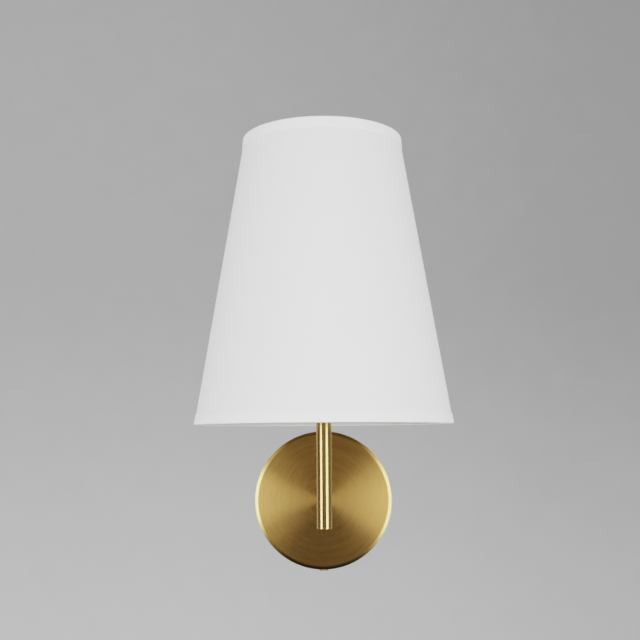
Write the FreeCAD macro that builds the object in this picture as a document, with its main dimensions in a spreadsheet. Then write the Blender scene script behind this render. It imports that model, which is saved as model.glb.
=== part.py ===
import FreeCAD, Part

# Fabric shade wall light, in millimetres. The origin is the centre of the backplate on the wall plane.
# +Z points up, +Y into the wall, and the light faces -Y. The upright stem stands at y = -reach.

import os
import re

import Sketcher

doc = FreeCAD.newDocument("fabric_shade_wall_light")
sheet = doc.addObject("Spreadsheet::Sheet", "Sizes")

# Driving dimensions: the name that expressions use, the size, and what it measures.
DRIVING_SIZES = (
    ("plate_diameter", 120.65, "backplate across"),
    ("plate_depth", 20.0, "backplate from the wall to its face"),
    ("plate_wall", 1.0, "sheet of the backplate"),
    ("plate_edge", 3.0, "outer radius of the spun edge"),
    ("plate_screw_setback", 8.0, "side screws from the wall"),
    ("side_screw_diameter", 4.0, "thread of the side screws"),
    ("side_screw_head", 8.4, "head of the side screws across"),
    ("side_screw_height", 1.9, "head of the side screws, height"),
    ("side_screw_dome", 1.3, "head of the side screws, edge radius"),
    ("side_screw_slot", 1.0, "driver slot of the side screws, width"),
    ("side_screw_slot_depth", 0.9, "driver slot of the side screws, depth"),
    ("side_screw_past_ear", 1.6, "side screw past the ear, inwards"),
    ("strap_width", 16.0, "crossbar strap, width"),
    ("strap_thickness", 2.0, "crossbar strap, thickness"),
    ("strap_bend", 1.5, "inner radius of the crossbar's bends"),
    ("strap_clearance", 0.3, "crossbar's ears to the pan's rim"),
    ("ear_length", 14.0, "crossbar's ears, from the wall forward"),
    ("box_slot_spacing", 79.4, "centres of the two box slots"),
    ("box_slot_length", 14.0, "box slot, overall length"),
    ("box_slot_width", 4.5, "box slot, width"),
    ("strap_hole_diameter", 10.6, "crossbar's centre hole"),
    ("ground_height", 20.0, "earth screw above the centre"),
    ("ground_screw_diameter", 4.8, "earth screw thread"),
    ("ground_washer_diameter", 9.4, "earth screw's washer face, across"),
    ("ground_hex", 7.0, "earth screw's hexagon, across flats"),
    ("ground_head_height", 3.2, "earth screw's head, height"),
    ("ground_washer_height", 1.0, "earth screw's washer face, height"),
    ("tag_thickness", 0.8, "ring tags, sheet"),
    ("tag_margin", 2.0, "ring tags, ring width"),
    ("tag_barrel_radius", 1.5, "ring tags, crimp barrel, outer radius"),
    ("tag_barrel_length", 6.0, "ring tags, crimp barrel, length"),
    ("thread_diameter", 10.0, "hollow threads of arm and stem"),
    ("thread_clearance", 0.05, "radial play of threads"),
    ("hole_clearance", 0.1, "radial play of plain holes on the threads"),
    ("thread_bore", 7.0, "way for the leads through the threads"),
    ("thread_reach", 8.0, "hollow thread past its shoulder"),
    ("end_shoulder", 2.0, "shoulder of the threaded ends"),
    ("end_spigot", 10.0, "threaded ends inside their tube"),
    ("lock_washer_diameter", 17.0, "lock washer on the arm's thread, across"),
    ("lock_washer_thickness", 1.0, "lock washer, thickness"),
    ("nut_flats", 14.0, "thread nuts, across flats"),
    ("arm_nut_height", 4.0, "nut behind the backplate"),
    ("arm_diameter", 12.0, "arm tube across"),
    ("stem_diameter", 12.0, "stem tube across"),
    ("tube_wall", 1.0, "wall of both tubes"),
    ("braze_gap", 0.05, "gap that the brazing fills"),
    ("reach", 120.0, "stem's axis from the wall"),
    ("stem_drop", 16.0, "stem's lower end below the arm's axis"),
    ("stem_rise", 88.0, "stem tube's top above the arm's axis"),
    ("stem_side_hole", 8.6, "hole in the stem for the leads"),
    ("plug_disc", 1.5, "stem's end plug, visible disc"),
    ("plug_spigot", 6.0, "stem's end plug inside the tube"),
    ("plug_edge", 0.5, "stem's end plug, edge radius"),
    ("seat_washer_diameter", 24.0, "washer under the lampholder, across"),
    ("seat_washer_thickness", 1.2, "washer under the lampholder, thickness"),
    ("cap_diameter", 37.6, "lampholder cap across"),
    ("cap_foot_diameter", 25.0, "lampholder cap's foot across"),
    ("cap_height", 25.0, "lampholder cap, height"),
    ("cap_flare", 9.0, "height of the cap's conical foot"),
    ("cap_floor", 3.0, "floor of the cap"),
    ("holder_wall", 2.8, "wall of cap and skirt"),
    ("holder_nut_height", 3.0, "nut inside the cap"),
    ("core_radius", 16.6, "insulating core, radius"),
    ("core_in_cap", 4.0, "core below the cap's rim"),
    ("core_in_skirt", 3.0, "core above the cap's rim"),
    ("core_ledge", 0.8, "ledges that hold the core"),
    ("core_play", 0.15, "core to cap and skirt"),
    ("core_boss_radius", 8.0, "boss on the core"),
    ("core_boss_height", 1.0, "boss on the core, height"),
    ("skirt_diameter", 39.0, "threaded skirt across its thread"),
    ("skirt_shoulder_diameter", 47.0, "skirt's shoulder across"),
    ("skirt_shoulder_height", 2.5, "skirt's shoulder, height"),
    ("skirt_length", 30.0, "threaded length above the shoulder"),
    ("skirt_lip", 1.2, "inward lip at the skirt's mouth"),
    ("skirt_lip_height", 2.0, "height of that lip"),
    ("bulb_thread_diameter", 26.4, "bulb's screw cap across"),
    ("bulb_play", 0.1, "radial play of the cap in the screw shell"),
    ("shell_sheet", 0.4, "sheet of the screw shell"),
    ("shell_length", 24.0, "screw shell, length"),
    ("contact_width", 5.0, "contact tongue, width"),
    ("contact_sheet", 0.5, "contact tongue, sheet"),
    ("contact_spring", 2.2, "contact tongue, rise of its free end"),
    ("contact_foot", 6.5, "contact tongue, foot from the axis"),
    ("contact_tip", 3.0, "contact tongue, tip past the axis"),
    ("terminal_offset", 9.0, "terminals from the axis"),
    ("terminal_width", 6.0, "terminal block, width"),
    ("terminal_depth", 7.0, "terminal block, depth"),
    ("terminal_height", 6.0, "terminal block, height"),
    ("terminal_bore_depth", 4.5, "lead in its terminal"),
    ("terminal_screw_diameter", 2.4, "terminal screw thread"),
    ("terminal_screw_head", 4.2, "terminal screw head across"),
    ("terminal_head_height", 1.4, "terminal screw head, height"),
    ("lead_diameter", 1.8, "leads across their insulation"),
    ("lead_spacing", 2.4, "centres of the two leads in the tubes"),
    ("lead_sag", 1.0, "leads below and in front of the tubes' axes"),
    ("lead_bend", 5.5, "bend radius of the leads in tight places"),
    ("lead_arch", 2.5, "leads between connector and arm, highest run above the arm's axis"),
    ("lead_spread_start", 1.5, "leads part this far above the stem's thread"),
    ("lead_spread_end", 4.2, "leads run upright from this far below the terminals"),
    ("ground_lead_loop", 8.8, "loop of the earth lead beside its tags"),
    ("lead_play", 0.1, "radial play round a lead"),
    ("elbow_bend", 8.0, "bend radius of the leads from arm to stem"),
    ("connector_offset", 24.0, "wire connectors beside the centre"),
    ("connector_depth", 8.0, "wire connectors from the wall"),
    ("connector_top", 6.0, "open ends of the wire connectors below the centre"),
    ("connector_length", 20.0, "wire connectors, length"),
    ("connector_mouth", 10.0, "wire connectors, mouth across"),
    ("connector_tip", 6.4, "wire connectors, tip across"),
    ("connector_grip", 7.0, "lead inside its connector"),
    ("fitter_recess", 53.7, "fitter ring above the shade's lower rim"),
    ("fitter_thickness", 1.2, "fitter ring, sheet"),
    ("fitter_play", 0.6, "fitter ring round the skirt, radial"),
    ("fitter_diameter", 58.0, "fitter ring across"),
    ("spoke_diameter", 2.5, "spokes, wire"),
    ("spoke_flat", 5.0, "flat run of a spoke under the fitter ring"),
    ("spoke_bend", 6.0, "bend radius of a spoke"),
    ("spoke_count", 3, "spokes"),
    ("first_spoke_bearing", 90.0, "bearing of the spoke nearest the wall"),
    ("weld_gap", 0.05, "gap that a weld fills"),
    ("ring_nut_height", 6.5, "ring nut, height"),
    ("ring_nut_diameter", 53.0, "ring nut across"),
    ("ring_nut_play", 0.1, "ring nut on the skirt, radial"),
    ("ring_nut_chamfer", 1.0, "ring nut, edge chamfer"),
    ("ring_nut_notches", 24, "grip notches of the ring nut"),
    ("ring_nut_notch", 1.6, "radius of a grip notch"),
    ("shade_bottom_diameter", 203.6, "shade across its lower hem"),
    ("shade_top_diameter", 128.8, "shade across its upper hem"),
    ("shade_height", 230.0, "shade, height"),
    ("cloth_thickness", 0.45, "shade's outer cloth"),
    ("liner_thickness", 0.45, "stiff lining behind the cloth"),
    ("glue_gap", 0.05, "gap between glued layers"),
    ("hem_cloth", 0.5, "folded cloth of the hems"),
    ("hem_height", 8.5, "both hems, height"),
    ("top_hem_proud", 1.2, "upper hem proud of the cloth at the rim"),
    ("hem_round", 0.9, "roll of the hems over the rims"),
    ("top_hem_turn_in", 4.5, "upper hem inside the shade, height"),
    ("wire_diameter", 2.5, "rim rings, wire"),
    ("bottom_wire_inset", 1.6, "lower rim ring, its wire's centre inside the lining"),
    ("seam_width", 10.0, "overlap seam at the back"),
    ("seam_cloth", 0.45, "overlap seam, thickness"),
    ("seam_sweep", 30.0, "angle that the seam is turned through before it's trimmed"),
    ("seam_end_gap", 0.2, "seam to the hems"),
    ("bulb_tip_gap", 0.1, "bulb's contact above the tongue"),
    ("bulb_contact_height", 1.6, "bulb's centre contact, height"),
    ("bulb_contact_diameter", 8.4, "bulb's centre contact across"),
    ("bulb_glass_insulator", 4.0, "bulb's insulator, height"),
    ("bulb_insulator_diameter", 19.6, "bulb's insulator across"),
    ("bulb_insulator_lip", 0.75, "bulb's insulator, flat beside the contact"),
    ("bulb_cap_length", 24.0, "bulb's metal cap, length"),
    ("bulb_cap_sheet", 0.5, "bulb's metal cap, sheet"),
    ("bulb_cap_cone", 4.0, "bulb's metal cap, height of its conical foot"),
    ("bulb_cap_collar", 12.9, "bulb's metal cap, collar radius"),
    ("bulb_cap_collar_height", 4.0, "bulb's metal cap, height of its collar"),
    ("bulb_neck_radius", 12.0, "glass inside the cap, radius"),
    ("bulb_neck_depth", 7.0, "glass inside the cap, depth"),
    ("bulb_shoulder_height", 5.0, "glass, where it starts to widen above the cap"),
    ("bulb_shoulder_round", 17.5, "glass, curve of its shoulder"),
    ("bulb_belly_radius", 18.4, "glass, corner of its belly before rounding"),
    ("bulb_belly_height", 27.0, "glass, belly above the cap"),
    ("bulb_belly_round", 42.0, "glass, curve of its belly"),
    ("bulb_flank_radius", 13.2, "glass, corner of its flank before rounding"),
    ("bulb_flank_height", 55.0, "glass, flank above the cap"),
    ("bulb_flank_round", 60.0, "glass, curve of its flank"),
    ("bulb_crown_radius", 4.6, "glass, corner of its blunt tip before rounding"),
    ("bulb_crown_round", 6.5, "glass, curve of its blunt tip"),
    ("bulb_glass_height", 75.0, "glass above the cap"),
    ("bulb_glass_wall", 0.9, "glass wall"),
)
SIZE_WORDS = {name for name, _, _ in DRIVING_SIZES}

for row, (name, size, meaning) in enumerate(DRIVING_SIZES, start=1):
    sheet.set("A%d" % row, meaning)
    sheet.set("B%d" % row, str(size))
    sheet.setAlias("B%d" % row, name)
doc.recompute()


def in_cells(text):
    """The expression with every size word pointing at its cell."""
    return re.sub(
        r"[a-z_]+", lambda word: "Sizes." + word.group(0) if word.group(0) in SIZE_WORDS else word.group(0), text
    )


def size_of(text):
    """The number that an expression in size words comes to."""
    return float(sheet.evalExpression(in_cells(text)))


def total(*terms):
    """The sum of several expressions, as one expression."""
    return "(" + " + ".join(terms) + ")"


# Places that several pieces share, worked out from the driving dimensions.
PLATE_RADIUS = "(plate_diameter / 2)"
PLATE_FACE = "(-plate_depth)"
PLATE_INSIDE = "(plate_wall - plate_depth)"
STRAP_END = "(sqrt((plate_diameter / 2 - plate_wall) ^ 2 - (strap_width / 2) ^ 2) - strap_clearance)"
EAR_INSIDE = "(" + STRAP_END + " - strap_thickness)"
TUBE_BORE = "(stem_diameter / 2 - tube_wall)"
SPIGOT_RADIUS = "(stem_diameter / 2 - tube_wall - braze_gap)"
THREAD_RADIUS = "(thread_diameter / 2)"
THREAD_HOLE = "(thread_diameter / 2 + thread_clearance)"
PLAIN_HOLE = "(thread_diameter / 2 + hole_clearance)"
LOCK_WASHER_BACK = total(PLATE_INSIDE, "lock_washer_thickness")
BONDING_TAG_BACK = total(LOCK_WASHER_BACK, "tag_thickness")
ARM_START = "(-plate_depth - end_shoulder)"
SEAT_BOTTOM = "(stem_rise + end_shoulder)"
SEAT_TOP = total(SEAT_BOTTOM, "seat_washer_thickness")
CAP_FLOOR = total(SEAT_TOP, "cap_floor")
CAP_TOP = total(SEAT_TOP, "cap_height")
CORE_BOTTOM = "(" + CAP_TOP + " - core_in_cap)"
CORE_TOP = total(CAP_TOP, "core_in_skirt")
BOSS_TOP = total(CORE_TOP, "core_boss_height")
CORE_SEAT = total("core_radius", "core_play")
HOLDER_BORE = "(" + CORE_SEAT + " - core_ledge)"
SHOULDER_TOP = total(CAP_TOP, "skirt_shoulder_height")
SKIRT_TOP = total(SHOULDER_TOP, "skirt_length")
FITTER_TOP = total(SHOULDER_TOP, "fitter_thickness")
SHELL_BORE = "(bulb_thread_diameter / 2 + bulb_play)"
CONTACT_TOP = total(BOSS_TOP, "contact_spring", "contact_sheet")
TERMINAL_BOTTOM = "(" + CORE_BOTTOM + " - terminal_height)"
TERMINAL_MIDDLE = "(" + CORE_BOTTOM + " - terminal_height / 2)"
RIM_BOTTOM = "(" + SHOULDER_TOP + " - fitter_recess)"
RIM_TOP = total(RIM_BOTTOM, "shade_height")
CLOTH_BOTTOM = total(RIM_BOTTOM, "hem_cloth", "glue_gap")
CLOTH_TOP = "(" + RIM_TOP + " - hem_cloth - glue_gap)"
BOTTOM_HEM_TOP = total(RIM_BOTTOM, "hem_height")
TOP_HEM_BOTTOM = "(" + RIM_TOP + " - hem_height)"
WIRE_RADIUS = "(wire_diameter / 2)"
BOTTOM_WIRE_HEIGHT = total(CLOTH_BOTTOM, WIRE_RADIUS)
TOP_WIRE_HEIGHT = "(" + CLOTH_TOP + " - wire_diameter / 2)"
SPOKE_HEIGHT = "(" + SHOULDER_TOP + " - spoke_diameter / 2 - weld_gap)"
SPOKE_START = "(fitter_diameter / 2 - spoke_flat)"
BULB_TIP = total(CONTACT_TOP, "bulb_tip_gap")
BULB_CONTACT_TOP = total(BULB_TIP, "bulb_contact_height")
BULB_CAP_BOTTOM = total(BULB_CONTACT_TOP, "bulb_glass_insulator")
BULB_CAP_TOP = total(BULB_CAP_BOTTOM, "bulb_cap_length")
GLASS_BOTTOM = "(" + BULB_CAP_TOP + " - bulb_neck_depth)"
GLASS_TOP = total(BULB_CAP_TOP, "bulb_glass_height")


def cloth_radius(height):
    """Outer radius of the tapered cloth at a height."""
    bottom = "(shade_bottom_diameter / 2 - hem_cloth)"
    top = "(shade_top_diameter / 2 - top_hem_proud)"
    return "(%s + (%s - %s) * (%s - %s) / shade_height)" % (bottom, top, bottom, height, RIM_BOTTOM)


def liner_bore(height):
    """Inner radius of the lining at a height."""
    return "(%s - cloth_thickness - glue_gap - liner_thickness)" % cloth_radius(height)


BOTTOM_WIRE_CENTRE = "(" + liner_bore(CLOTH_BOTTOM) + " - bottom_wire_inset)"
TOP_WIRE_CENTRE = "(" + liner_bore(CLOTH_TOP) + " - glue_gap - wire_diameter / 2)"


def new_body(label):
    """An empty body that carries the name of its node."""
    body = doc.addObject("PartDesign::Body", label)
    body.Label = label
    return body


def on_stem(body):
    """Moves a body's origin onto the stem's axis."""
    body.setExpression("Placement.Base.y", in_cells("-reach"))
    return body


def origin_part(body, role):
    """One of the body's own origin planes or axes."""
    return [part for part in body.Origin.OriginFeatures if part.Role == role][0]


def new_sketch(body, name, plane, lift=None, shift=None):
    """A sketch on an origin plane, lifted along its normal and shifted across where that is asked."""
    sketch = body.newObject("Sketcher::SketchObject", name)
    sketch.AttachmentSupport = [(origin_part(body, plane), "")]
    sketch.MapMode = "FlatFace"
    if lift:
        sketch.setExpression("AttachmentOffset.Base.z", in_cells(lift))
    if shift:
        sketch.setExpression("AttachmentOffset.Base.x", in_cells(shift))
    return sketch


def drive(sketch, constraint, text):
    """Adds a constraint whose value is an expression in size words."""
    index = sketch.addConstraint(constraint)
    sketch.setExpression("Constraints[%d]" % index, in_cells(text))


def place_point(sketch, geometry, end, across, up):
    """Ties one point of a geometry to its place, on an axis where the place is 0."""
    vertical_axis, horizontal_axis = -2, -1
    if across == "0":
        sketch.addConstraint(Sketcher.Constraint("PointOnObject", geometry, end, vertical_axis))
    else:
        drive(sketch, Sketcher.Constraint("DistanceX", geometry, end, size_of(across)), across)
    if up == "0":
        sketch.addConstraint(Sketcher.Constraint("PointOnObject", geometry, end, horizontal_axis))
    else:
        drive(sketch, Sketcher.Constraint("DistanceY", geometry, end, size_of(up)), up)


def flat_vector(across, up):
    """A point of a sketch."""
    return FreeCAD.Vector(across, up, 0)


def draw_circle(sketch, across, up, radius):
    """A full circle."""
    centre = flat_vector(size_of(across), size_of(up))
    circle = sketch.addGeometry(Part.Circle(centre, FreeCAD.Vector(0, 0, 1), size_of(radius)), False)
    place_point(sketch, circle, 3, across, up)
    drive(sketch, Sketcher.Constraint("Radius", circle, size_of(radius)), radius)


def draw_outline(sketch, corners):
    """A closed outline. A corner is (across, up) or (across, up, radius), all in size words."""
    points = [flat_vector(size_of(corner[0]), size_of(corner[1])) for corner in corners]
    radii = [size_of(corner[2]) if len(corner) > 2 else 0.0 for corner in corners]
    count = len(corners)
    ways = [(points[(i + 1) % count] - points[i]).normalize() for i in range(count)]
    left = [ways[i - 1].x * ways[i].y - ways[i - 1].y * ways[i].x > 0 for i in range(count)]
    trims = [radii[i] * tangent(ways[i - 1].getAngle(ways[i]) / 2) for i in range(count)]
    first = sketch.GeometryCount
    for i in range(count):
        start = points[i] + ways[i] * trims[i]
        end = points[(i + 1) % count] - ways[i] * trims[(i + 1) % count]
        sketch.addGeometry(Part.LineSegment(start, end), False)
    for i in range(count):
        before, after = first + (i - 1) % count, first + i
        if radii[i]:
            round_corner(sketch, corners[i], points[i], (before, after), (ways[i - 1], ways[i]), trims[i], left[i])
        else:
            sketch.addConstraint(Sketcher.Constraint("Coincident", before, 2, after, 1))
            place_point(sketch, after, 1, corners[i][0], corners[i][1])


def tangent(angle):
    """Tangent of an angle in radians."""
    turned = FreeCAD.Rotation(FreeCAD.Vector(0, 0, 1), FreeCAD.Units.Quantity(angle, "rad").getValueAs("deg").Value)
    ray = turned.multVec(FreeCAD.Vector(1, 0, 0))
    return ray.y / ray.x


def round_corner(sketch, corner, point, lines, ways, trim, turns_left):
    """An arc between two lines of an outline, with the sharp corner kept as a driven point."""
    start = point - ways[0] * trim
    end = point + ways[1] * trim
    side = 1 if turns_left else -1
    radius = size_of(corner[2])
    centre = start + FreeCAD.Vector(-ways[0].y, ways[0].x, 0) * side * radius
    across_axis = FreeCAD.Vector(1, 0, 0)
    bearings = []
    for rim in (start - centre, end - centre):
        bearing = rim.getAngle(across_axis)
        bearings.append(bearing if rim.y >= 0 else -bearing)
    if not turns_left:
        bearings.reverse()
    circle = Part.Circle(centre, FreeCAD.Vector(0, 0, 1), radius)
    arc = sketch.addGeometry(Part.ArcOfCircle(circle, bearings[0], bearings[1]), False)
    mark = sketch.addGeometry(Part.Point(point), True)
    arc_in, arc_out = (1, 2) if turns_left else (2, 1)
    sketch.addConstraint(Sketcher.Constraint("Tangent", lines[0], 2, arc, arc_in))
    sketch.addConstraint(Sketcher.Constraint("Tangent", arc, arc_out, lines[1], 1))
    sketch.addConstraint(Sketcher.Constraint("PointOnObject", mark, 1, lines[0]))
    sketch.addConstraint(Sketcher.Constraint("PointOnObject", mark, 1, lines[1]))
    place_point(sketch, mark, 1, corner[0], corner[1])
    drive(sketch, Sketcher.Constraint("Radius", arc, radius), corner[2])


def draw_slot(sketch, middle, length, width):
    """An upright slot with round ends, centred across, its middle at a height."""
    radius = size_of(width) / 2
    half = size_of(length) / 2 - radius
    height = size_of(middle)
    low, high = flat_vector(0, height - half), flat_vector(0, height + half)
    up = FreeCAD.Vector(0, 0, 1)
    half_turn = FreeCAD.Vector(1, 0, 0).getAngle(FreeCAD.Vector(-1, 0, 0))
    upper = sketch.addGeometry(Part.ArcOfCircle(Part.Circle(high, up, radius), 0, half_turn), False)
    lower = sketch.addGeometry(Part.ArcOfCircle(Part.Circle(low, up, radius), half_turn, 0), False)
    side = FreeCAD.Vector(radius, 0, 0)
    right = sketch.addGeometry(Part.LineSegment(low + side, high + side), False)
    left = sketch.addGeometry(Part.LineSegment(high - side, low - side), False)
    sketch.addConstraint(Sketcher.Constraint("Tangent", right, 2, upper, 1))
    sketch.addConstraint(Sketcher.Constraint("Tangent", upper, 2, left, 1))
    sketch.addConstraint(Sketcher.Constraint("Tangent", left, 2, lower, 1))
    sketch.addConstraint(Sketcher.Constraint("Tangent", lower, 2, right, 1))
    place_point(sketch, upper, 3, "0", "(%s + %s / 2 - %s / 2)" % (middle, length, width))
    place_point(sketch, lower, 3, "0", "(%s - %s / 2 + %s / 2)" % (middle, length, width))
    drive(sketch, Sketcher.Constraint("Radius", upper, radius), "(%s) / 2" % width)


def hexagon(flats):
    """Corners of a hexagon with two of its flats level."""
    point = "(%s / sqrt(3))" % flats
    half = "(%s / sqrt(3) / 2)" % flats
    side = "(%s / 2)" % flats
    return (
        (point, "0"),
        (half, side),
        ("-" + half, side),
        ("-" + point, "0"),
        ("-" + half, "-" + side),
        (half, "-" + side),
    )


def revolve(body, name, corners, plane="XZ_Plane", axis="V_Axis", lift=None, shift=None):
    """A turned shape: the outline spun a full turn about an axis of its sketch."""
    sketch = new_sketch(body, name + "_outline", plane, lift, shift)
    draw_outline(sketch, corners)
    feature = body.newObject("PartDesign::Revolution", name)
    feature.Profile = sketch
    feature.ReferenceAxis = (sketch, [axis])
    feature.Angle = 360
    return feature


def revolve_on_arm(body, name, corners):
    """A turned shape about the arm's axis: its outline is (place along Y, radius)."""
    return revolve(body, name, corners, plane="YZ_Plane", axis="H_Axis")


def pad(body, name, sketch, length, symmetric=False):
    """An extrusion along the sketch's normal."""
    feature = body.newObject("PartDesign::Pad", name)
    feature.Profile = sketch
    feature.SideType = "Symmetric" if symmetric else "One side"
    feature.setExpression("Length", in_cells(length))
    return feature


def cut(body, name, sketch, length=None, reverse=False):
    """A pocket that must take material away: through everything both ways where no length is given."""
    doc.recompute()
    before = body.Shape.Volume
    feature = body.newObject("PartDesign::Pocket", name)
    feature.Profile = sketch
    if length:
        feature.Type = "Length"
        feature.setExpression("Length", in_cells(length))
        feature.Reversed = reverse
    else:
        feature.SideType = "Symmetric"
        feature.Type = "ThroughAll"
    doc.recompute()
    if body.Shape.Volume >= before:
        raise ValueError(name + " takes nothing away")
    return feature


def round_pattern(body, name, features, axis, count):
    """Copies of features, evenly spaced round one of the body's axes."""
    pattern = body.newObject("PartDesign::PolarPattern", name)
    pattern.Originals = features
    pattern.Axis = (origin_part(body, axis), [""])
    pattern.Angle = 360
    pattern.setExpression("Occurrences", in_cells(count))
    body.Tip = pattern
    return pattern


def make_backplate():
    """Spun pan, open to the wall, with a hole for the arm's thread and two for the side screws."""
    body = new_body("backplate")
    revolve_on_arm(
        body,
        "pan",
        (
            ("0", PLATE_RADIUS),
            (PLATE_FACE, PLATE_RADIUS, "plate_edge"),
            (PLATE_FACE, PLAIN_HOLE),
            (PLATE_INSIDE, PLAIN_HOLE),
            (PLATE_INSIDE, "(plate_diameter / 2 - plate_wall)", "(plate_edge - plate_wall)"),
            ("0", "(plate_diameter / 2 - plate_wall)"),
        ),
    )
    holes = new_sketch(body, "side_holes_outline", "XY_Plane")
    draw_circle(holes, "0", "-plate_screw_setback", "(side_screw_diameter / 2 + hole_clearance)")
    cut(body, "side_holes", holes)


def make_crossbar():
    """Steel strap on the wall, its two ends bent forward into ears that take the side screws."""
    body = new_body("crossbar")
    profile = new_sketch(body, "strap_outline", "YZ_Plane")
    outer_bend = "(strap_bend + strap_thickness)"
    draw_outline(
        profile,
        (
            ("0", "-" + STRAP_END, outer_bend),
            ("0", STRAP_END, outer_bend),
            ("-ear_length", STRAP_END),
            ("-ear_length", EAR_INSIDE),
            ("-strap_thickness", EAR_INSIDE, "strap_bend"),
            ("-strap_thickness", "-" + EAR_INSIDE, "strap_bend"),
            ("-ear_length", "-" + EAR_INSIDE),
            ("-ear_length", "-" + STRAP_END),
        ),
    )
    pad(body, "strap", profile, "strap_width", symmetric=True)
    openings = new_sketch(body, "wall_openings_outline", "XZ_Plane")
    draw_circle(openings, "0", "0", "(strap_hole_diameter / 2)")
    draw_circle(openings, "0", "ground_height", "(ground_screw_diameter / 2 + thread_clearance)")
    draw_slot(openings, "(box_slot_spacing / 2)", "box_slot_length", "box_slot_width")
    draw_slot(openings, "(-box_slot_spacing / 2)", "box_slot_length", "box_slot_width")
    cut(body, "wall_openings", openings)
    taps = new_sketch(body, "ear_taps_outline", "XY_Plane")
    draw_circle(taps, "0", "-plate_screw_setback", "(side_screw_diameter / 2 + thread_clearance)")
    cut(body, "ear_taps", taps)


def make_side_screws():
    """Two slotted screws through the pan's rim, at 12 and 6 o'clock."""
    body = new_body("backplate_screws")
    body.setExpression("Placement.Base.y", in_cells("-plate_screw_setback"))
    head_top = total(PLATE_RADIUS, "side_screw_height")
    screw = revolve(
        body,
        "screw",
        (
            ("0", "(" + EAR_INSIDE + " - side_screw_past_ear)"),
            ("(side_screw_diameter / 2)", "(" + EAR_INSIDE + " - side_screw_past_ear)"),
            ("(side_screw_diameter / 2)", PLATE_RADIUS),
            ("(side_screw_head / 2)", PLATE_RADIUS),
            ("(side_screw_head / 2)", head_top, "side_screw_dome"),
            ("0", head_top),
        ),
    )
    slot = new_sketch(body, "driver_slot_outline", "XZ_Plane")
    slot_floor = "(" + head_top + " - side_screw_slot_depth)"
    draw_outline(
        slot,
        (
            ("(-side_screw_slot / 2)", slot_floor),
            ("(side_screw_slot / 2)", slot_floor),
            ("(side_screw_slot / 2)", total(head_top, "side_screw_height")),
            ("(-side_screw_slot / 2)", total(head_top, "side_screw_height")),
        ),
    )
    groove = cut(body, "driver_slot", slot)
    round_pattern(body, "both_screws", [screw, groove], "Y_Axis", "2")


def make_ground_screw():
    """Green hexagon screw that clamps the earth tag on the crossbar."""
    body = new_body("ground_screw")
    body.setExpression("Placement.Base.z", in_cells("ground_height"))
    seat = "(-strap_thickness - tag_thickness)"
    washer = "(-strap_thickness - tag_thickness - ground_washer_height)"
    revolve_on_arm(
        body,
        "washer_and_shank",
        (
            ("-glue_gap", "0"),
            ("-glue_gap", "(ground_screw_diameter / 2)"),
            (seat, "(ground_screw_diameter / 2)"),
            (seat, "(ground_washer_diameter / 2)"),
            (washer, "(ground_washer_diameter / 2)"),
            (washer, "0"),
        ),
    )
    head = new_sketch(body, "hexagon_outline", "XZ_Plane", lift="-" + washer)
    draw_outline(head, hexagon("ground_hex"))
    pad(body, "hexagon", head, "(ground_head_height - ground_washer_height)")


def make_ring_tag(label, hole_radius, back, height, barrel_depth):
    """Ring tag on a thread: a ring, a tongue to -X and a crimp barrel for the earth lead."""
    body = new_body(label)
    body.setExpression("Placement.Base.y", in_cells(back))
    if height:
        body.setExpression("Placement.Base.z", in_cells(height))
    ring_radius = "(%s + tag_margin)" % hole_radius
    ring = new_sketch(body, "ring_outline", "XZ_Plane")
    draw_circle(ring, "0", "0", ring_radius)
    draw_circle(ring, "0", "0", hole_radius)
    pad(body, "ring", ring, "tag_thickness")
    tongue = new_sketch(body, "tongue_outline", "XZ_Plane")
    barrel_start = "(-%s - tag_barrel_radius)" % ring_radius
    barrel_root = "(%s - tag_thickness)" % barrel_start
    draw_outline(
        tongue,
        (
            (barrel_root, "(-tag_barrel_radius)"),
            ("(-%s - tag_margin / 2)" % hole_radius, "(-tag_barrel_radius)"),
            ("(-%s - tag_margin / 2)" % hole_radius, "tag_barrel_radius"),
            (barrel_root, "tag_barrel_radius"),
        ),
    )
    pad(body, "tongue", tongue, "tag_thickness")
    barrel = new_sketch(body, "barrel_outline", "YZ_Plane", lift="(%s - tag_barrel_length)" % barrel_start)
    draw_circle(barrel, barrel_depth, "0", "tag_barrel_radius")
    pad(body, "barrel", barrel, "tag_barrel_length")
    bore = new_sketch(body, "barrel_bore_outline", "YZ_Plane", lift="(%s - tag_barrel_length)" % barrel_start)
    draw_circle(bore, barrel_depth, "0", "(lead_diameter / 2 + lead_play)")
    cut(body, "barrel_bore", bore, length="tag_barrel_length", reverse=True)


def make_washer(label, back, front, inner, outer):
    """Flat washer on the arm's thread."""
    body = new_body(label)
    revolve_on_arm(body, "washer", ((back, inner), (back, outer), (front, outer), (front, inner)))


def make_arm_nut():
    """Hexagon nut that pulls the arm's shoulder against the backplate."""
    body = new_body("arm_nut")
    body.setExpression("Placement.Base.y", in_cells(total(BONDING_TAG_BACK, "arm_nut_height")))
    sketch = new_sketch(body, "nut_outline", "XZ_Plane")
    draw_outline(sketch, hexagon("nut_flats"))
    draw_circle(sketch, "0", "0", THREAD_HOLE)
    pad(body, "nut", sketch, "arm_nut_height")


def threaded_end(spigot_start, shoulder_start, shoulder_end, thread_end, tube_radius):
    """Outline of a turned end: spigot in the tube, shoulder on its rim, hollow thread beyond."""
    return (
        (spigot_start, "(thread_bore / 2)"),
        (spigot_start, SPIGOT_RADIUS),
        (shoulder_start, SPIGOT_RADIUS),
        (shoulder_start, tube_radius),
        (shoulder_end, tube_radius),
        (shoulder_end, THREAD_RADIUS),
        (thread_end, THREAD_RADIUS, "thread_clearance"),
        (thread_end, "(thread_bore / 2)"),
    )


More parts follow.
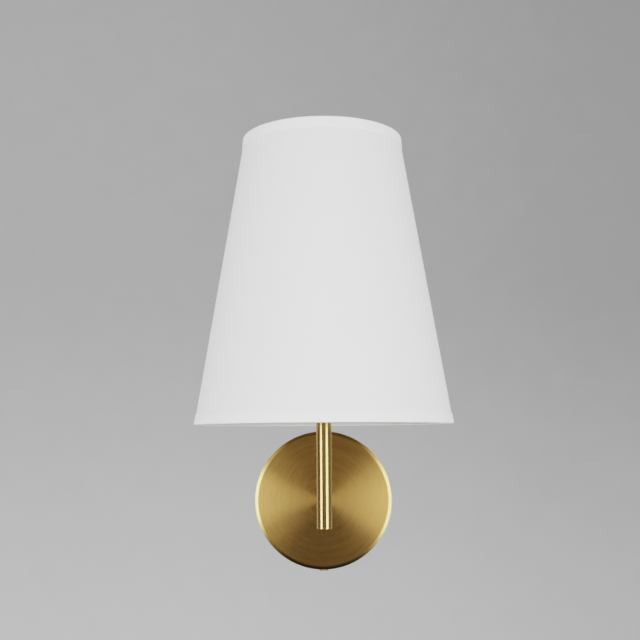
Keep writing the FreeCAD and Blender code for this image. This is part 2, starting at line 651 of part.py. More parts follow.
def make_arm():
    """Horizontal tube from the backplate to the stem, coped round the stem, and its threaded end."""
    end = new_body("arm_threaded_end")
    revolve_on_arm(
        end,
        "turned_end",
        threaded_end(
            "(-plate_depth - end_shoulder - end_spigot)",
            ARM_START,
            PLATE_FACE,
            "(thread_reach - plate_depth)",
            "(arm_diameter / 2)",
        ),
    )
    tube = new_body("arm")
    revolve_on_arm(
        tube,
        "tube",
        (
            (ARM_START, "(arm_diameter / 2 - tube_wall)"),
            (ARM_START, "(arm_diameter / 2)"),
            ("-reach", "(arm_diameter / 2)"),
            ("-reach", "(arm_diameter / 2 - tube_wall)"),
        ),
    )
    cope = new_sketch(tube, "cope_outline", "XY_Plane")
    draw_circle(cope, "0", "-reach", "(stem_diameter / 2 + braze_gap)")
    cut(tube, "cope", cope)


def make_stem():
    """Upright tube with a side hole for the leads, its end plug and its threaded end."""
    tube = on_stem(new_body("stem"))
    tube_bottom = "(plug_disc - stem_drop)"
    revolve(
        tube,
        "tube",
        (
            (TUBE_BORE, tube_bottom),
            ("(stem_diameter / 2)", tube_bottom),
            ("(stem_diameter / 2)", "stem_rise"),
            (TUBE_BORE, "stem_rise"),
        ),
    )
    side_hole = new_sketch(tube, "side_hole_outline", "XZ_Plane")
    draw_circle(side_hole, "0", "0", "(stem_side_hole / 2)")
    cut(tube, "side_hole", side_hole, length="stem_diameter")

    plug = on_stem(new_body("stem_end_plug"))
    revolve(
        plug,
        "plug",
        (
            ("0", "-stem_drop"),
            ("(stem_diameter / 2)", "-stem_drop", "plug_edge"),
            ("(stem_diameter / 2)", tube_bottom),
            (SPIGOT_RADIUS, tube_bottom),
            (SPIGOT_RADIUS, total(tube_bottom, "plug_spigot"), "plug_edge"),
            ("0", total(tube_bottom, "plug_spigot")),
        ),
    )

    end = on_stem(new_body("stem_threaded_end"))
    along = threaded_end(
        "(stem_rise - end_spigot)",
        "stem_rise",
        SEAT_BOTTOM,
        total(SEAT_BOTTOM, "thread_reach"),
        "(stem_diameter / 2)",
    )
    revolve(end, "turned_end", tuple((corner[1], corner[0]) + corner[2:] for corner in along))


def make_holder():
    """Lampholder: washer, cap, nut, insulating core, threaded skirt, screw shell and contacts."""
    washer = on_stem(new_body("holder_seat_washer"))
    revolve(
        washer,
        "washer",
        (
            (PLAIN_HOLE, SEAT_BOTTOM),
            ("(seat_washer_diameter / 2)", SEAT_BOTTOM, "(seat_washer_thickness / 3)"),
            ("(seat_washer_diameter / 2)", SEAT_TOP, "(seat_washer_thickness / 3)"),
            (PLAIN_HOLE, SEAT_TOP),
        ),
    )

    cap = on_stem(new_body("holder_cap"))
    flare_top = total(SEAT_TOP, "cap_flare")
    revolve(
        cap,
        "cap",
        (
            (PLAIN_HOLE, SEAT_TOP),
            ("(cap_foot_diameter / 2)", SEAT_TOP),
            ("(cap_diameter / 2)", flare_top, "(holder_wall * 2)"),
            ("(cap_diameter / 2)", CAP_TOP),
            (CORE_SEAT, CAP_TOP),
            (CORE_SEAT, CORE_BOTTOM),
            (HOLDER_BORE, CORE_BOTTOM),
            (HOLDER_BORE, total(flare_top, "cap_floor / 2"), "holder_wall"),
            ("(cap_foot_diameter / 2 - holder_wall)", CAP_FLOOR),
            (PLAIN_HOLE, CAP_FLOOR),
        ),
    )

    nut = on_stem(new_body("holder_nut"))
    nut_outline = new_sketch(nut, "nut_outline", "XY_Plane", lift=CAP_FLOOR)
    draw_outline(nut_outline, hexagon("nut_flats"))
    draw_circle(nut_outline, "0", "0", THREAD_HOLE)
    pad(nut, "nut", nut_outline, "holder_nut_height")

    core = on_stem(new_body("holder_core"))
    revolve(
        core,
        "core",
        (
            ("0", CORE_BOTTOM),
            ("core_radius", CORE_BOTTOM),
            ("core_radius", CORE_TOP),
            ("core_boss_radius", CORE_TOP),
            ("core_boss_radius", BOSS_TOP),
            ("0", BOSS_TOP),
        ),
    )

    skirt = on_stem(new_body("holder_skirt"))
    lip_bottom = "(" + SKIRT_TOP + " - skirt_lip_height)"
    lip_radius = "(" + HOLDER_BORE + " - skirt_lip)"
    revolve(
        skirt,
        "skirt",
        (
            (CORE_SEAT, CAP_TOP),
            ("(skirt_shoulder_diameter / 2)", CAP_TOP),
            ("(skirt_shoulder_diameter / 2)", SHOULDER_TOP),
            ("(skirt_diameter / 2)", SHOULDER_TOP),
            ("(skirt_diameter / 2)", SKIRT_TOP, "(skirt_lip / 2)"),
            (lip_radius, SKIRT_TOP),
            (lip_radius, lip_bottom),
            (HOLDER_BORE, lip_bottom),
            (HOLDER_BORE, CORE_TOP),
            (CORE_SEAT, CORE_TOP),
        ),
    )

    shell = on_stem(new_body("screw_shell"))
    shell_top = total(CORE_TOP, "shell_length")
    revolve(
        shell,
        "shell",
        (
            ("(core_boss_radius + lead_play)", CORE_TOP),
            (total(SHELL_BORE, "shell_sheet"), CORE_TOP),
            (total(SHELL_BORE, "shell_sheet"), shell_top),
            (SHELL_BORE, shell_top),
            (SHELL_BORE, total(CORE_TOP, "shell_sheet")),
            ("(core_boss_radius + lead_play)", total(CORE_TOP, "shell_sheet")),
        ),
    )


def make_contacts():
    """Springy centre contact, the two terminal blocks under the core and their screws."""
    tongue = on_stem(new_body("centre_contact"))
    profile = new_sketch(tongue, "tongue_outline", "XZ_Plane")
    raised = total(BOSS_TOP, "contact_spring")
    foot_end = "(-contact_foot / 2)"
    rise_end = "(-contact_foot / 6)"
    draw_outline(
        profile,
        (
            ("-contact_foot", BOSS_TOP),
            (foot_end, BOSS_TOP),
            (rise_end, raised),
            ("contact_tip", raised),
            ("contact_tip", CONTACT_TOP),
            ("(-contact_foot / 6 - contact_sheet / 2)", CONTACT_TOP),
            ("(-contact_foot / 2 - contact_sheet / 2)", total(BOSS_TOP, "contact_sheet")),
            ("-contact_foot", total(BOSS_TOP, "contact_sheet")),
        ),
    )
    pad(tongue, "tongue", profile, "contact_width", symmetric=True)

    blocks = on_stem(new_body("terminals"))
    footprint = new_sketch(blocks, "block_outline", "XY_Plane", lift=TERMINAL_BOTTOM)
    near = "(terminal_offset - terminal_width / 2)"
    far = "(terminal_offset + terminal_width / 2)"
    side = "(terminal_depth / 2)"
    draw_outline(footprint, ((near, "-" + side), (far, "-" + side), (far, side), (near, side)))
    block = pad(blocks, "block", footprint, "terminal_height")
    way_in = new_sketch(blocks, "lead_bore_outline", "XY_Plane", lift=TERMINAL_BOTTOM)
    draw_circle(way_in, "terminal_offset", "0", "(lead_diameter / 2 + lead_play)")
    bore = cut(blocks, "lead_bore", way_in, length="terminal_bore_depth", reverse=True)
    tap = new_sketch(blocks, "screw_tap_outline", "XZ_Plane")
    draw_circle(tap, "terminal_offset", TERMINAL_MIDDLE, "(terminal_screw_diameter / 2 + thread_clearance)")
    thread = cut(blocks, "screw_tap", tap, length="terminal_depth", reverse=True)
    round_pattern(blocks, "both_blocks", [block, bore, thread], "Z_Axis", "2")

    screws = on_stem(new_body("terminal_screws"))
    tip = "(-lead_diameter / 2 - glue_gap)"
    face = "(-terminal_depth / 2)"
    top = "(-terminal_depth / 2 - terminal_head_height)"
    screw = revolve(
        screws,
        "screw",
        (
            ("0", tip),
            ("0", top),
            ("(terminal_screw_head / 2)", top, "(terminal_head_height / 2)"),
            ("(terminal_screw_head / 2)", face),
            ("(terminal_screw_diameter / 2)", face),
            ("(terminal_screw_diameter / 2)", tip),
        ),
        plane="XY_Plane",
        lift=TERMINAL_MIDDLE,
        shift="terminal_offset",
    )
    round_pattern(screws, "both_screws", [screw], "Z_Axis", "2")


def make_connectors():
    """Two twist-on wire connectors in the pan, one on the end of each lead."""
    body = new_body("wire_connectors")
    body.setExpression("Placement.Base.y", in_cells("-connector_depth"))
    mouth = "(-connector_top)"
    tip = "(-connector_top - connector_length)"
    bore = "(lead_diameter / 2 + lead_play)"
    first = revolve(
        body,
        "connector",
        (
            ("0", tip),
            ("(connector_tip / 2)", tip, "(connector_tip / 5)"),
            ("(connector_mouth / 2)", "(-connector_top - connector_length / 6)"),
            ("(connector_mouth / 2)", mouth, "(connector_tip / 6)"),
            (bore, mouth),
            (bore, "(-connector_top - connector_grip)"),
            ("0", "(-connector_top - connector_grip)"),
        ),
        shift="connector_offset",
    )
    mirrored = body.newObject("PartDesign::Mirrored", "both_connectors")
    mirrored.Originals = [first]
    mirrored.MirrorPlane = (origin_part(body, "YZ_Plane"), [""])
    body.Tip = mirrored


def rounded_route(points, radii):
    """A wire of straight runs through points, joined by tangent arcs of the given radii."""
    edges = []
    start = points[0]
    for i in range(1, len(points) - 1):
        inward = (points[i - 1] - points[i]).normalize()
        outward = (points[i + 1] - points[i]).normalize()
        half_angle = inward.getAngle(outward) / 2
        trim = radii[i - 1] / tangent(half_angle)
        first, last = points[i] + inward * trim, points[i] + outward * trim
        bisector = (inward + outward).normalize()
        to_centre = FreeCAD.Vector(trim, radii[i - 1], 0).Length
        middle = points[i] + bisector * (to_centre - radii[i - 1])
        edges.append(Part.LineSegment(start, first).toShape())
        edges.append(Part.Arc(first, middle, last).toShape())
        start = last
    edges.append(Part.LineSegment(start, points[-1]).toShape())
    return Part.Wire(edges)


def make_lead(label, points, radii):
    """A round lead along its route; its volume must be its section times its length."""
    route = rounded_route(points, radii)
    radius = size_of("lead_diameter / 2")
    way = (points[1] - points[0]).normalize()
    section = Part.Wire([Part.Circle(points[0], way, radius).toShape()])
    solid = Part.Wire(route).makePipeShell([section], True, True)
    straight_volume = Part.Face(section).Area * route.Length
    if abs(solid.Volume - straight_volume) > straight_volume / 100:
        raise ValueError(label + " has the wrong volume")
    lead = doc.addObject("Part::Feature", label)
    lead.Label = label
    lead.Shape = solid
    print(label, "length", round(route.Length, 1), "bends", [round(radius, 1) for radius in radii])


def make_leads():
    """Live and neutral leads from the connectors through arm and stem to the terminals, and the earth lead."""
    point = FreeCAD.Vector
    reach = size_of("reach")
    sag = size_of("lead_sag")
    bend = size_of("lead_bend")
    elbow = size_of("elbow_bend")
    thread_back = size_of("thread_reach - plate_depth")
    connector_end = size_of("-connector_top - connector_grip + lead_play")
    depth = -size_of("connector_depth")
    thread_top = size_of(total(SEAT_BOTTOM, "thread_reach"))
    terminal_foot = size_of(TERMINAL_BOTTOM)
    lead_top = size_of("(%s + terminal_bore_depth - lead_play)" % TERMINAL_BOTTOM)
    arch = size_of("lead_arch")
    spread_start = thread_top + size_of("lead_spread_start")
    spread_end = terminal_foot - size_of("lead_spread_end")
    for label, side in (("hot_lead", 1), ("neutral_lead", -1)):
        beside = side * size_of("connector_offset")
        near = side * size_of("lead_spacing / 2")
        terminal = side * size_of("terminal_offset")
        points = (
            point(beside, depth, connector_end),
            point(beside, depth, arch),
            point(near, thread_back + bend, -sag),
            point(near, -reach - sag, -sag),
            point(near, -reach - sag, spread_start),
            point(terminal, -reach, spread_end),
            point(terminal, -reach, lead_top),
        )
        make_lead(label, points, (bend, bend, elbow, bend, bend))

    ring = size_of("thread_diameter / 2 + thread_clearance + tag_margin")
    small_ring = size_of("ground_screw_diameter / 2 + thread_clearance + tag_margin")
    barrel_radius = size_of("tag_barrel_radius")
    barrel_length = size_of("tag_barrel_length")
    arm_tag_depth = size_of(BONDING_TAG_BACK + " - tag_thickness") + barrel_radius
    strap_tag_depth = size_of("-strap_thickness") - barrel_radius
    height = size_of("ground_height")
    far = -(ring + barrel_radius + barrel_length + size_of("ground_lead_loop"))
    points = (
        point(-(ring + barrel_radius + lead_inset()), arm_tag_depth, 0),
        point(far, arm_tag_depth, 0),
        point(far, strap_tag_depth, height),
        point(-(small_ring + barrel_radius + lead_inset()), strap_tag_depth, height),
    )
    make_lead("ground_lead", points, (bend, bend))


def lead_inset():
    """How far short of a barrel's inner end a lead stops."""
    return size_of("tag_barrel_length / 3")


def make_shade_carrier():
    """Fitter ring, its spokes, the two rim rings and the ring nut above the fitter ring."""
    ring = on_stem(new_body("fitter_ring"))
    bore = "(skirt_diameter / 2 + fitter_play)"
    revolve(
        ring,
        "washer",
        (
            (bore, SHOULDER_TOP),
            ("(fitter_diameter / 2)", SHOULDER_TOP),
            ("(fitter_diameter / 2)", FITTER_TOP),
            (bore, FITTER_TOP),
        ),
    )

    spokes = on_stem(new_body("fitter_spokes"))
    path = new_sketch(spokes, "spoke_path", "XZ_Plane")
    draw_spoke_path(path)
    section = new_sketch(spokes, "spoke_section", "YZ_Plane", lift=SPOKE_START)
    draw_circle(section, "0", SPOKE_HEIGHT, "(spoke_diameter / 2)")
    pipe = spokes.newObject("PartDesign::AdditivePipe", "spoke")
    pipe.Profile = section
    pipe.Spine = (path, ["Edge1", "Edge2", "Edge3"])
    rim = new_sketch(spokes, "rim_clearance_outline", "XZ_Plane")
    draw_circle(rim, BOTTOM_WIRE_CENTRE, BOTTOM_WIRE_HEIGHT, "(wire_diameter / 2 + weld_gap)")
    doc.recompute()
    before = spokes.Shape.Volume
    cope = spokes.newObject("PartDesign::Groove", "rim_cope")
    cope.Profile = rim
    cope.ReferenceAxis = (rim, ["V_Axis"])
    cope.Angle = 360
    doc.recompute()
    if spokes.Shape.Volume >= before:
        raise ValueError("the spokes aren't coped on the rim ring")
    turn = spokes.newObject("PartDesign::PolarPattern", "all_spokes")
    turn.Originals = [pipe, cope]
    turn.Axis = (origin_part(spokes, "Z_Axis"), [""])
    turn.Angle = 360
    turn.setExpression("Occurrences", in_cells("spoke_count"))
    spokes.Tip = turn
    spokes.Placement.Rotation = FreeCAD.Rotation(FreeCAD.Vector(0, 0, 1), size_of("first_spoke_bearing"))

    for label, centre, height in (
        ("bottom_wire_ring", BOTTOM_WIRE_CENTRE, BOTTOM_WIRE_HEIGHT),
        ("top_wire_ring", TOP_WIRE_CENTRE, TOP_WIRE_HEIGHT),
    ):
        wire = on_stem(new_body(label))
        outline = new_sketch(wire, "wire_section", "XZ_Plane")
        draw_circle(outline, centre, height, WIRE_RADIUS)
        turned = wire.newObject("PartDesign::Revolution", "ring")
        turned.Profile = outline
        turned.ReferenceAxis = (outline, ["V_Axis"])
        turned.Angle = 360

    nut = on_stem(new_body("shade_ring"))
    nut_bore = "(skirt_diameter / 2 + ring_nut_play)"
    nut_radius = "(ring_nut_diameter / 2)"
    nut_top = total(FITTER_TOP, "ring_nut_height")
    revolve(
        nut,
        "ring",
        (
            (nut_bore, FITTER_TOP),
            (nut_radius, FITTER_TOP),
            (nut_radius, "(" + nut_top + " - ring_nut_chamfer)"),
            ("(ring_nut_diameter / 2 - ring_nut_chamfer)", nut_top),
            (nut_bore, nut_top),
        ),
    )
    notch_outline = new_sketch(nut, "notch_outline", "XY_Plane", lift=FITTER_TOP)
    draw_circle(notch_outline, "(ring_nut_diameter / 2 + ring_nut_notch / 2)", "0", "ring_nut_notch")
    notch = cut(nut, "notch", notch_outline, length="ring_nut_height", reverse=True)
    round_pattern(nut, "notches", [notch], "Z_Axis", "ring_nut_notches")


def draw_spoke_path(sketch):
    """Centre line of a spoke: a flat run under the fitter ring, a bend, and a straight run to the rim ring."""
    start = flat_vector(size_of(SPOKE_START), size_of(SPOKE_HEIGHT))
    corner = flat_vector(size_of("fitter_diameter / 2"), size_of(SPOKE_HEIGHT))
    end = flat_vector(size_of(BOTTOM_WIRE_CENTRE), size_of(BOTTOM_WIRE_HEIGHT))
    flat_way = (corner - start).normalize()
    slope_way = (end - corner).normalize()
    radius = size_of("spoke_bend")
    trim = radius * tangent(flat_way.getAngle(slope_way) / 2)
    first = sketch.addGeometry(Part.LineSegment(start, corner - flat_way * trim), False)
    centre = corner - flat_way * trim - FreeCAD.Vector(0, radius, 0)
    bearing = flat_way.getAngle(slope_way)
    quarter = FreeCAD.Vector(1, 0, 0).getAngle(FreeCAD.Vector(0, 1, 0))
    circle = Part.Circle(centre, FreeCAD.Vector(0, 0, 1), radius)
    arc = sketch.addGeometry(Part.ArcOfCircle(circle, quarter - bearing, quarter), False)
    last = sketch.addGeometry(Part.LineSegment(corner + slope_way * trim, end), False)
    mark = sketch.addGeometry(Part.Point(corner), True)
    place_point(sketch, first, 1, SPOKE_START, SPOKE_HEIGHT)
    sketch.addConstraint(Sketcher.Constraint("Tangent", first, 2, arc, 2))
    sketch.addConstraint(Sketcher.Constraint("Tangent", arc, 1, last, 1))
    sketch.addConstraint(Sketcher.Constraint("PointOnObject", mark, 1, first))
    sketch.addConstraint(Sketcher.Constraint("PointOnObject", mark, 1, last))
    place_point(sketch, mark, 1, "(fitter_diameter / 2)", SPOKE_HEIGHT)
    place_point(sketch, last, 2, BOTTOM_WIRE_CENTRE, BOTTOM_WIRE_HEIGHT)
    drive(sketch, Sketcher.Constraint("Radius", arc, radius), "spoke_bend")


def make_shade_cover():
    """Lining, cloth, overlap seam and the two hems that roll round the rim rings."""
    liner = on_stem(new_body("shade_liner"))
    cone_layer(liner, "liner", "(cloth_thickness + glue_gap)", "liner_thickness")
    cloth = on_stem(new_body("shade_fabric"))
    cone_layer(cloth, "cloth", "0", "cloth_thickness")

    seam = on_stem(new_body("back_seam"))
    low = total(BOTTOM_HEM_TOP, "seam_end_gap")
    high = "(" + TOP_HEM_BOTTOM + " - seam_end_gap)"
    outline = new_sketch(seam, "seam_outline", "YZ_Plane")
    draw_outline(
        outline,
        (
            (total(cloth_radius(low), "glue_gap"), low),
            (total(cloth_radius(low), "glue_gap", "seam_cloth"), low),
            (total(cloth_radius(high), "glue_gap", "seam_cloth"), high),
            (total(cloth_radius(high), "glue_gap"), high),
        ),
    )
    strip = seam.newObject("PartDesign::Revolution", "strip")
    strip.Profile = outline
    strip.ReferenceAxis = (outline, ["V_Axis"])
    strip.setExpression("Angle", in_cells("seam_sweep"))
    strip.Midplane = True
    trims = new_sketch(seam, "seam_trims_outline", "XZ_Plane")
    edge = "(seam_width / 2)"
    outside = "(seam_width * 4)"
    floor = "(" + low + " - seam_width)"
    ceiling = "(" + high + " + seam_width)"
    draw_outline(trims, ((edge, floor), (outside, floor), (outside, ceiling), (edge, ceiling)))
    draw_outline(
        trims, (("-" + outside, floor), ("-" + edge, floor), ("-" + edge, ceiling), ("-" + outside, ceiling))
    )
    cut(seam, "seam_trims", trims)

    bottom_hem = on_stem(new_body("bottom_hem"))
    lip = "(" + BOTTOM_WIRE_CENTRE + " - wire_diameter / 2 - glue_gap)"
    lip_top = "(" + BOTTOM_WIRE_HEIGHT + " - wire_diameter / 4)"
    trough = total(RIM_BOTTOM, "hem_cloth")
    revolve(
        bottom_hem,
        "hem",
        (
            (total(cloth_radius(BOTTOM_HEM_TOP), "glue_gap", "hem_cloth"), BOTTOM_HEM_TOP),
            (total(cloth_radius(BOTTOM_HEM_TOP), "glue_gap"), BOTTOM_HEM_TOP),
            (total(cloth_radius(trough), "glue_gap"), trough),
            (lip, trough, "(wire_diameter / 4)"),
            (lip, lip_top),
            ("(" + lip + " - hem_cloth)", lip_top),
            ("(" + lip + " - hem_cloth)", RIM_BOTTOM, "hem_round"),
            ("(shade_bottom_diameter / 2 + glue_gap)", RIM_BOTTOM, "hem_round"),
        ),
    )

    top_hem = on_stem(new_body("top_hem"))
    top_lip = "(" + TOP_WIRE_CENTRE + " - wire_diameter / 2 - glue_gap)"
    turn_in = "(" + RIM_TOP + " - top_hem_turn_in)"
    ridge = "(" + RIM_TOP + " - hem_cloth)"
    revolve(
        top_hem,
        "hem",
        (
            (total(cloth_radius(TOP_HEM_BOTTOM), "glue_gap"), TOP_HEM_BOTTOM),
            (total(cloth_radius(TOP_HEM_BOTTOM), "glue_gap", "hem_cloth"), TOP_HEM_BOTTOM),
            ("(shade_top_diameter / 2)", RIM_TOP, "hem_round"),
            ("(" + top_lip + " - hem_cloth)", RIM_TOP, "hem_round"),
            ("(" + top_lip + " - hem_cloth)", turn_in),
            (top_lip, turn_in),
            (top_lip, ridge, "(wire_diameter / 4)"),
            (total(cloth_radius(ridge), "glue_gap"), ridge),
        ),
    )


def cone_layer(body, name, inset, thickness):
    """One tapered layer of the shade, set in from the outer cloth."""
    corners = []
    for height, depth in (
        (CLOTH_BOTTOM, inset),
        (CLOTH_TOP, inset),
        (CLOTH_TOP, total(inset, thickness)),
        (CLOTH_BOTTOM, total(inset, thickness)),
    ):
        corners.append(("(%s - %s)" % (cloth_radius(height), depth), height))
    revolve(body, name, tuple(corners))


def make_bulb():
    """Candle bulb: centre contact, insulator, screw cap and glass."""
    contact = on_stem(new_body("bulb_contact"))
    revolve(
        contact,
        "contact",
        (
            ("0", BULB_TIP),
            ("(bulb_contact_diameter / 2)", BULB_TIP, "(bulb_contact_height / 2)"),
            ("(bulb_contact_diameter / 2)", BULB_CONTACT_TOP),
            ("0", BULB_CONTACT_TOP),
        ),
    )
    insulator = on_stem(new_body("bulb_insulator"))
    insulator_radius = "(bulb_insulator_diameter / 2)"
    revolve(
        insulator,
        "insulator",
        (
            ("0", BULB_CONTACT_TOP),
            ("(bulb_contact_diameter / 2 + bulb_insulator_lip)", BULB_CONTACT_TOP),
            (insulator_radius, BULB_CAP_BOTTOM),
            ("0", BULB_CAP_BOTTOM),
        ),
    )
    cap = on_stem(new_body("bulb_cap"))
    cap_radius = "(bulb_thread_diameter / 2)"
    thread_bottom = total(BULB_CAP_BOTTOM, "bulb_cap_cone")
    collar_bottom = "(" + BULB_CAP_TOP + " - bulb_cap_collar_height)"
    revolve(
        cap,
        "cap",
        (
            (insulator_radius, BULB_CAP_BOTTOM),
            (cap_radius, thread_bottom),
            (cap_radius, collar_bottom),
            ("bulb_cap_collar", collar_bottom),
            ("bulb_cap_collar", BULB_CAP_TOP),
            ("(bulb_cap_collar - bulb_cap_sheet)", BULB_CAP_TOP),
            ("(bulb_cap_collar - bulb_cap_sheet)", "(%s - bulb_cap_sheet)" % collar_bottom),
            ("(bulb_cap_collar - bulb_cap_sheet)", total(thread_bottom, "bulb_cap_sheet")),
            ("(bulb_insulator_diameter / 2 - bulb_cap_sheet)", total(BULB_CAP_BOTTOM, "bulb_cap_sheet")),
            ("(bulb_insulator_diameter / 2 - bulb_cap_sheet)", BULB_CAP_BOTTOM),
        ),
    )
    glass = on_stem(new_body("bulb_glass"))
    revolve(glass, "envelope", glass_outline("0"))
    hollow = new_sketch(glass, "hollow_outline", "XZ_Plane")
    draw_outline(hollow, glass_outline("bulb_glass_wall"))
    doc.recompute()
    before = glass.Shape.Volume
    groove = glass.newObject("PartDesign::Groove", "hollow")
    groove.Profile = hollow
    groove.ReferenceAxis = (hollow, ["V_Axis"])
    groove.Angle = 360
    doc.recompute()
    if glass.Shape.Volume >= before:
        raise ValueError("the glass isn't hollow")


def glass_outline(inset):
    """Torpedo outline of the glass, set in by a wall; the hollow one runs out at the neck."""
    neck = "(bulb_neck_radius - %s)" % inset
    belly = "(bulb_belly_radius - %s)" % inset
    flank = "(bulb_flank_radius - %s)" % inset
    crown = "(bulb_crown_radius - %s / 2)" % inset
    foot = "(%s - %s)" % (GLASS_BOTTOM, inset)
    top = "(%s - %s)" % (GLASS_TOP, inset)
    return (
        ("0", foot),
        (neck, foot),
        (neck, total(BULB_CAP_TOP, "bulb_shoulder_height"), "(bulb_shoulder_round + %s)" % inset),
        (belly, total(BULB_CAP_TOP, "bulb_belly_height"), "(bulb_belly_round - %s)" % inset),
        (flank, total(BULB_CAP_TOP, "bulb_flank_height"), "(bulb_flank_round - %s)" % inset),
        (crown, top, "(bulb_crown_round - %s)" % inset),
        ("0", top),
    )


def build_all():
    """Every piece of the light, from the wall outwards."""
    make_backplate()
    make_crossbar()
    make_side_screws()
    make_ground_screw()
    ground_hole = "(ground_screw_diameter / 2 + thread_clearance)"
    make_ring_tag("ground_tag", ground_hole, "(-strap_thickness)", "ground_height", "(-tag_barrel_radius)")
    make_washer("arm_lock_washer", PLATE_INSIDE, LOCK_WASHER_BACK, PLAIN_HOLE, "(lock_washer_diameter / 2)")
    make_ring_tag("bonding_tag", THREAD_HOLE, BONDING_TAG_BACK, None, "(tag_barrel_radius - tag_thickness)")
    make_arm_nut()
    make_arm()
    make_stem()
    make_holder()
    make_contacts()
    make_connectors()
    make_leads()
    make_shade_carrier()
    make_shade_cover()
    make_bulb()


def write_parts():
    """Checks every object and writes one STEP file for each node."""
    doc.recompute()
    faults = []
    for thing in doc.Objects:
        if "Invalid" in thing.State or "Error" in thing.State:
            faults.append(thing.Name + " in " + str(thing.State))
    nodes = [thing for thing in doc.Objects if thing.TypeId in ("PartDesign::Body", "Part::Feature")]
    for node in nodes:
        if node.Shape.isNull() or not node.Shape.isValid():
            faults.append(node.Label + " has no valid shape")
        elif not node.Shape.Solids:
            faults.append(node.Label + " has no solid")
    if faults:
        raise ValueError("; ".join(faults))
    os.makedirs("parts", exist_ok=True)
    for node in nodes:
        node.Shape.exportStep("parts/" + node.Label + ".step")
    print(len(nodes), "nodes written")


build_all()
write_parts()
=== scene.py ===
"""Looks of a wall light: a tapered cloth shade on a brass stem in front of a ring-brushed brass backplate.

Lengths are in metres, angles held by fields in degrees, and colours in linear light.
"""
import functools
import logging
import math
from dataclasses import dataclass, field
from enum import Enum
from typing import Callable, Iterable, Optional, Sequence, Union

import bmesh
import bpy
from mathutils import Matrix, Vector


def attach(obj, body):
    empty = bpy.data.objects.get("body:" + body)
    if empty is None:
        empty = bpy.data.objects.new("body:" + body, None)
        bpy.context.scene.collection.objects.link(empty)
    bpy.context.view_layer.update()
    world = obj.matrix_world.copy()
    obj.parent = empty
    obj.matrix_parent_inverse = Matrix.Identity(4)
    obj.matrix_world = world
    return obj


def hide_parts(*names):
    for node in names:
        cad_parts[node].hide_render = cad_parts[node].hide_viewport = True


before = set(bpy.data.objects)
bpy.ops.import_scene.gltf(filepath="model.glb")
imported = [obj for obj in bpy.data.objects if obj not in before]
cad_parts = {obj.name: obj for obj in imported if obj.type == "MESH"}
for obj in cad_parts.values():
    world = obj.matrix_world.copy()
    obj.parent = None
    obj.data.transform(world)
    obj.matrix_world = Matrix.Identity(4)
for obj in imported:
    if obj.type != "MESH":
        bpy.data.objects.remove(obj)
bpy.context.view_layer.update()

LOG = logging.getLogger("wall_light")

Colour = tuple[float, float, float]
Place = tuple[float, float, float]
Pair = tuple[float, float]
Outline = tuple[Pair, ...]
Mesh = bmesh.types.BMesh
Feed = Union["Signal", float, Sequence[float]]

FLAT_PATTERN = "flat_pattern"
ORIGIN: Place = (0.0, 0.0, 0.0)
STEM_FOOT: Place = (0.0, -0.120, 0.0)
UP: Place = (0.0, 0.0, 1.0)
FRONT: Place = (0.0, -1.0, 0.0)
HANDS = (1.0, -1.0)
FULL_TURN = 2.0 * math.pi
TOUCHING = 1e-6
SHARP_EDGE = 35.0
LAMP_PITCH = 0.00363
LAMP_DEPTH = 0.00085


# Shader maths


def math_node(operation: str, reflected: bool = False) -> Callable[..., "Signal"]:
    """Makes an operator of the Signal class.

    Args:
        operation: the Math node's operation.
        reflected: whether the signal stands on the right of the sign.

    Returns:
        The operator, which adds one Math node.
    """

    def operator(signal: "Signal", *others: Feed) -> "Signal":
        """Adds the Math node."""
        values = (*others, signal) if reflected else (signal, *others)
        return signal.graph.node("Math", dict(enumerate(values)), operation=operation)

    return operator


class Signal:
    """The output of a shader node, on which Python's own operators work."""

    def __init__(self, graph: "Graph", socket: Optional[bpy.types.NodeSocket]) -> None:
        """Keeps the socket and the graph that new nodes go into."""
        self.graph = graph
        self.socket = socket

    __add__ = __radd__ = math_node("ADD")
    __sub__ = math_node("SUBTRACT")
    __rsub__ = math_node("SUBTRACT", reflected=True)
    __mul__ = __rmul__ = math_node("MULTIPLY")
    __truediv__ = math_node("DIVIDE")
    __pow__ = math_node("POWER")
    __abs__ = math_node("ABSOLUTE")
    root = math_node("SQRT")
    sine = math_node("SINE")
    larger = math_node("MAXIMUM")

    def step(self, start: float, end: float) -> "Signal":
        """A soft step, from 0 at the start to 1 at the end."""
        feeds = {0: self, 1: start, 2: end, 3: 0.0, 4: 1.0}
        return self.graph.node("MapRange", feeds, interpolation_type="SMOOTHSTEP")


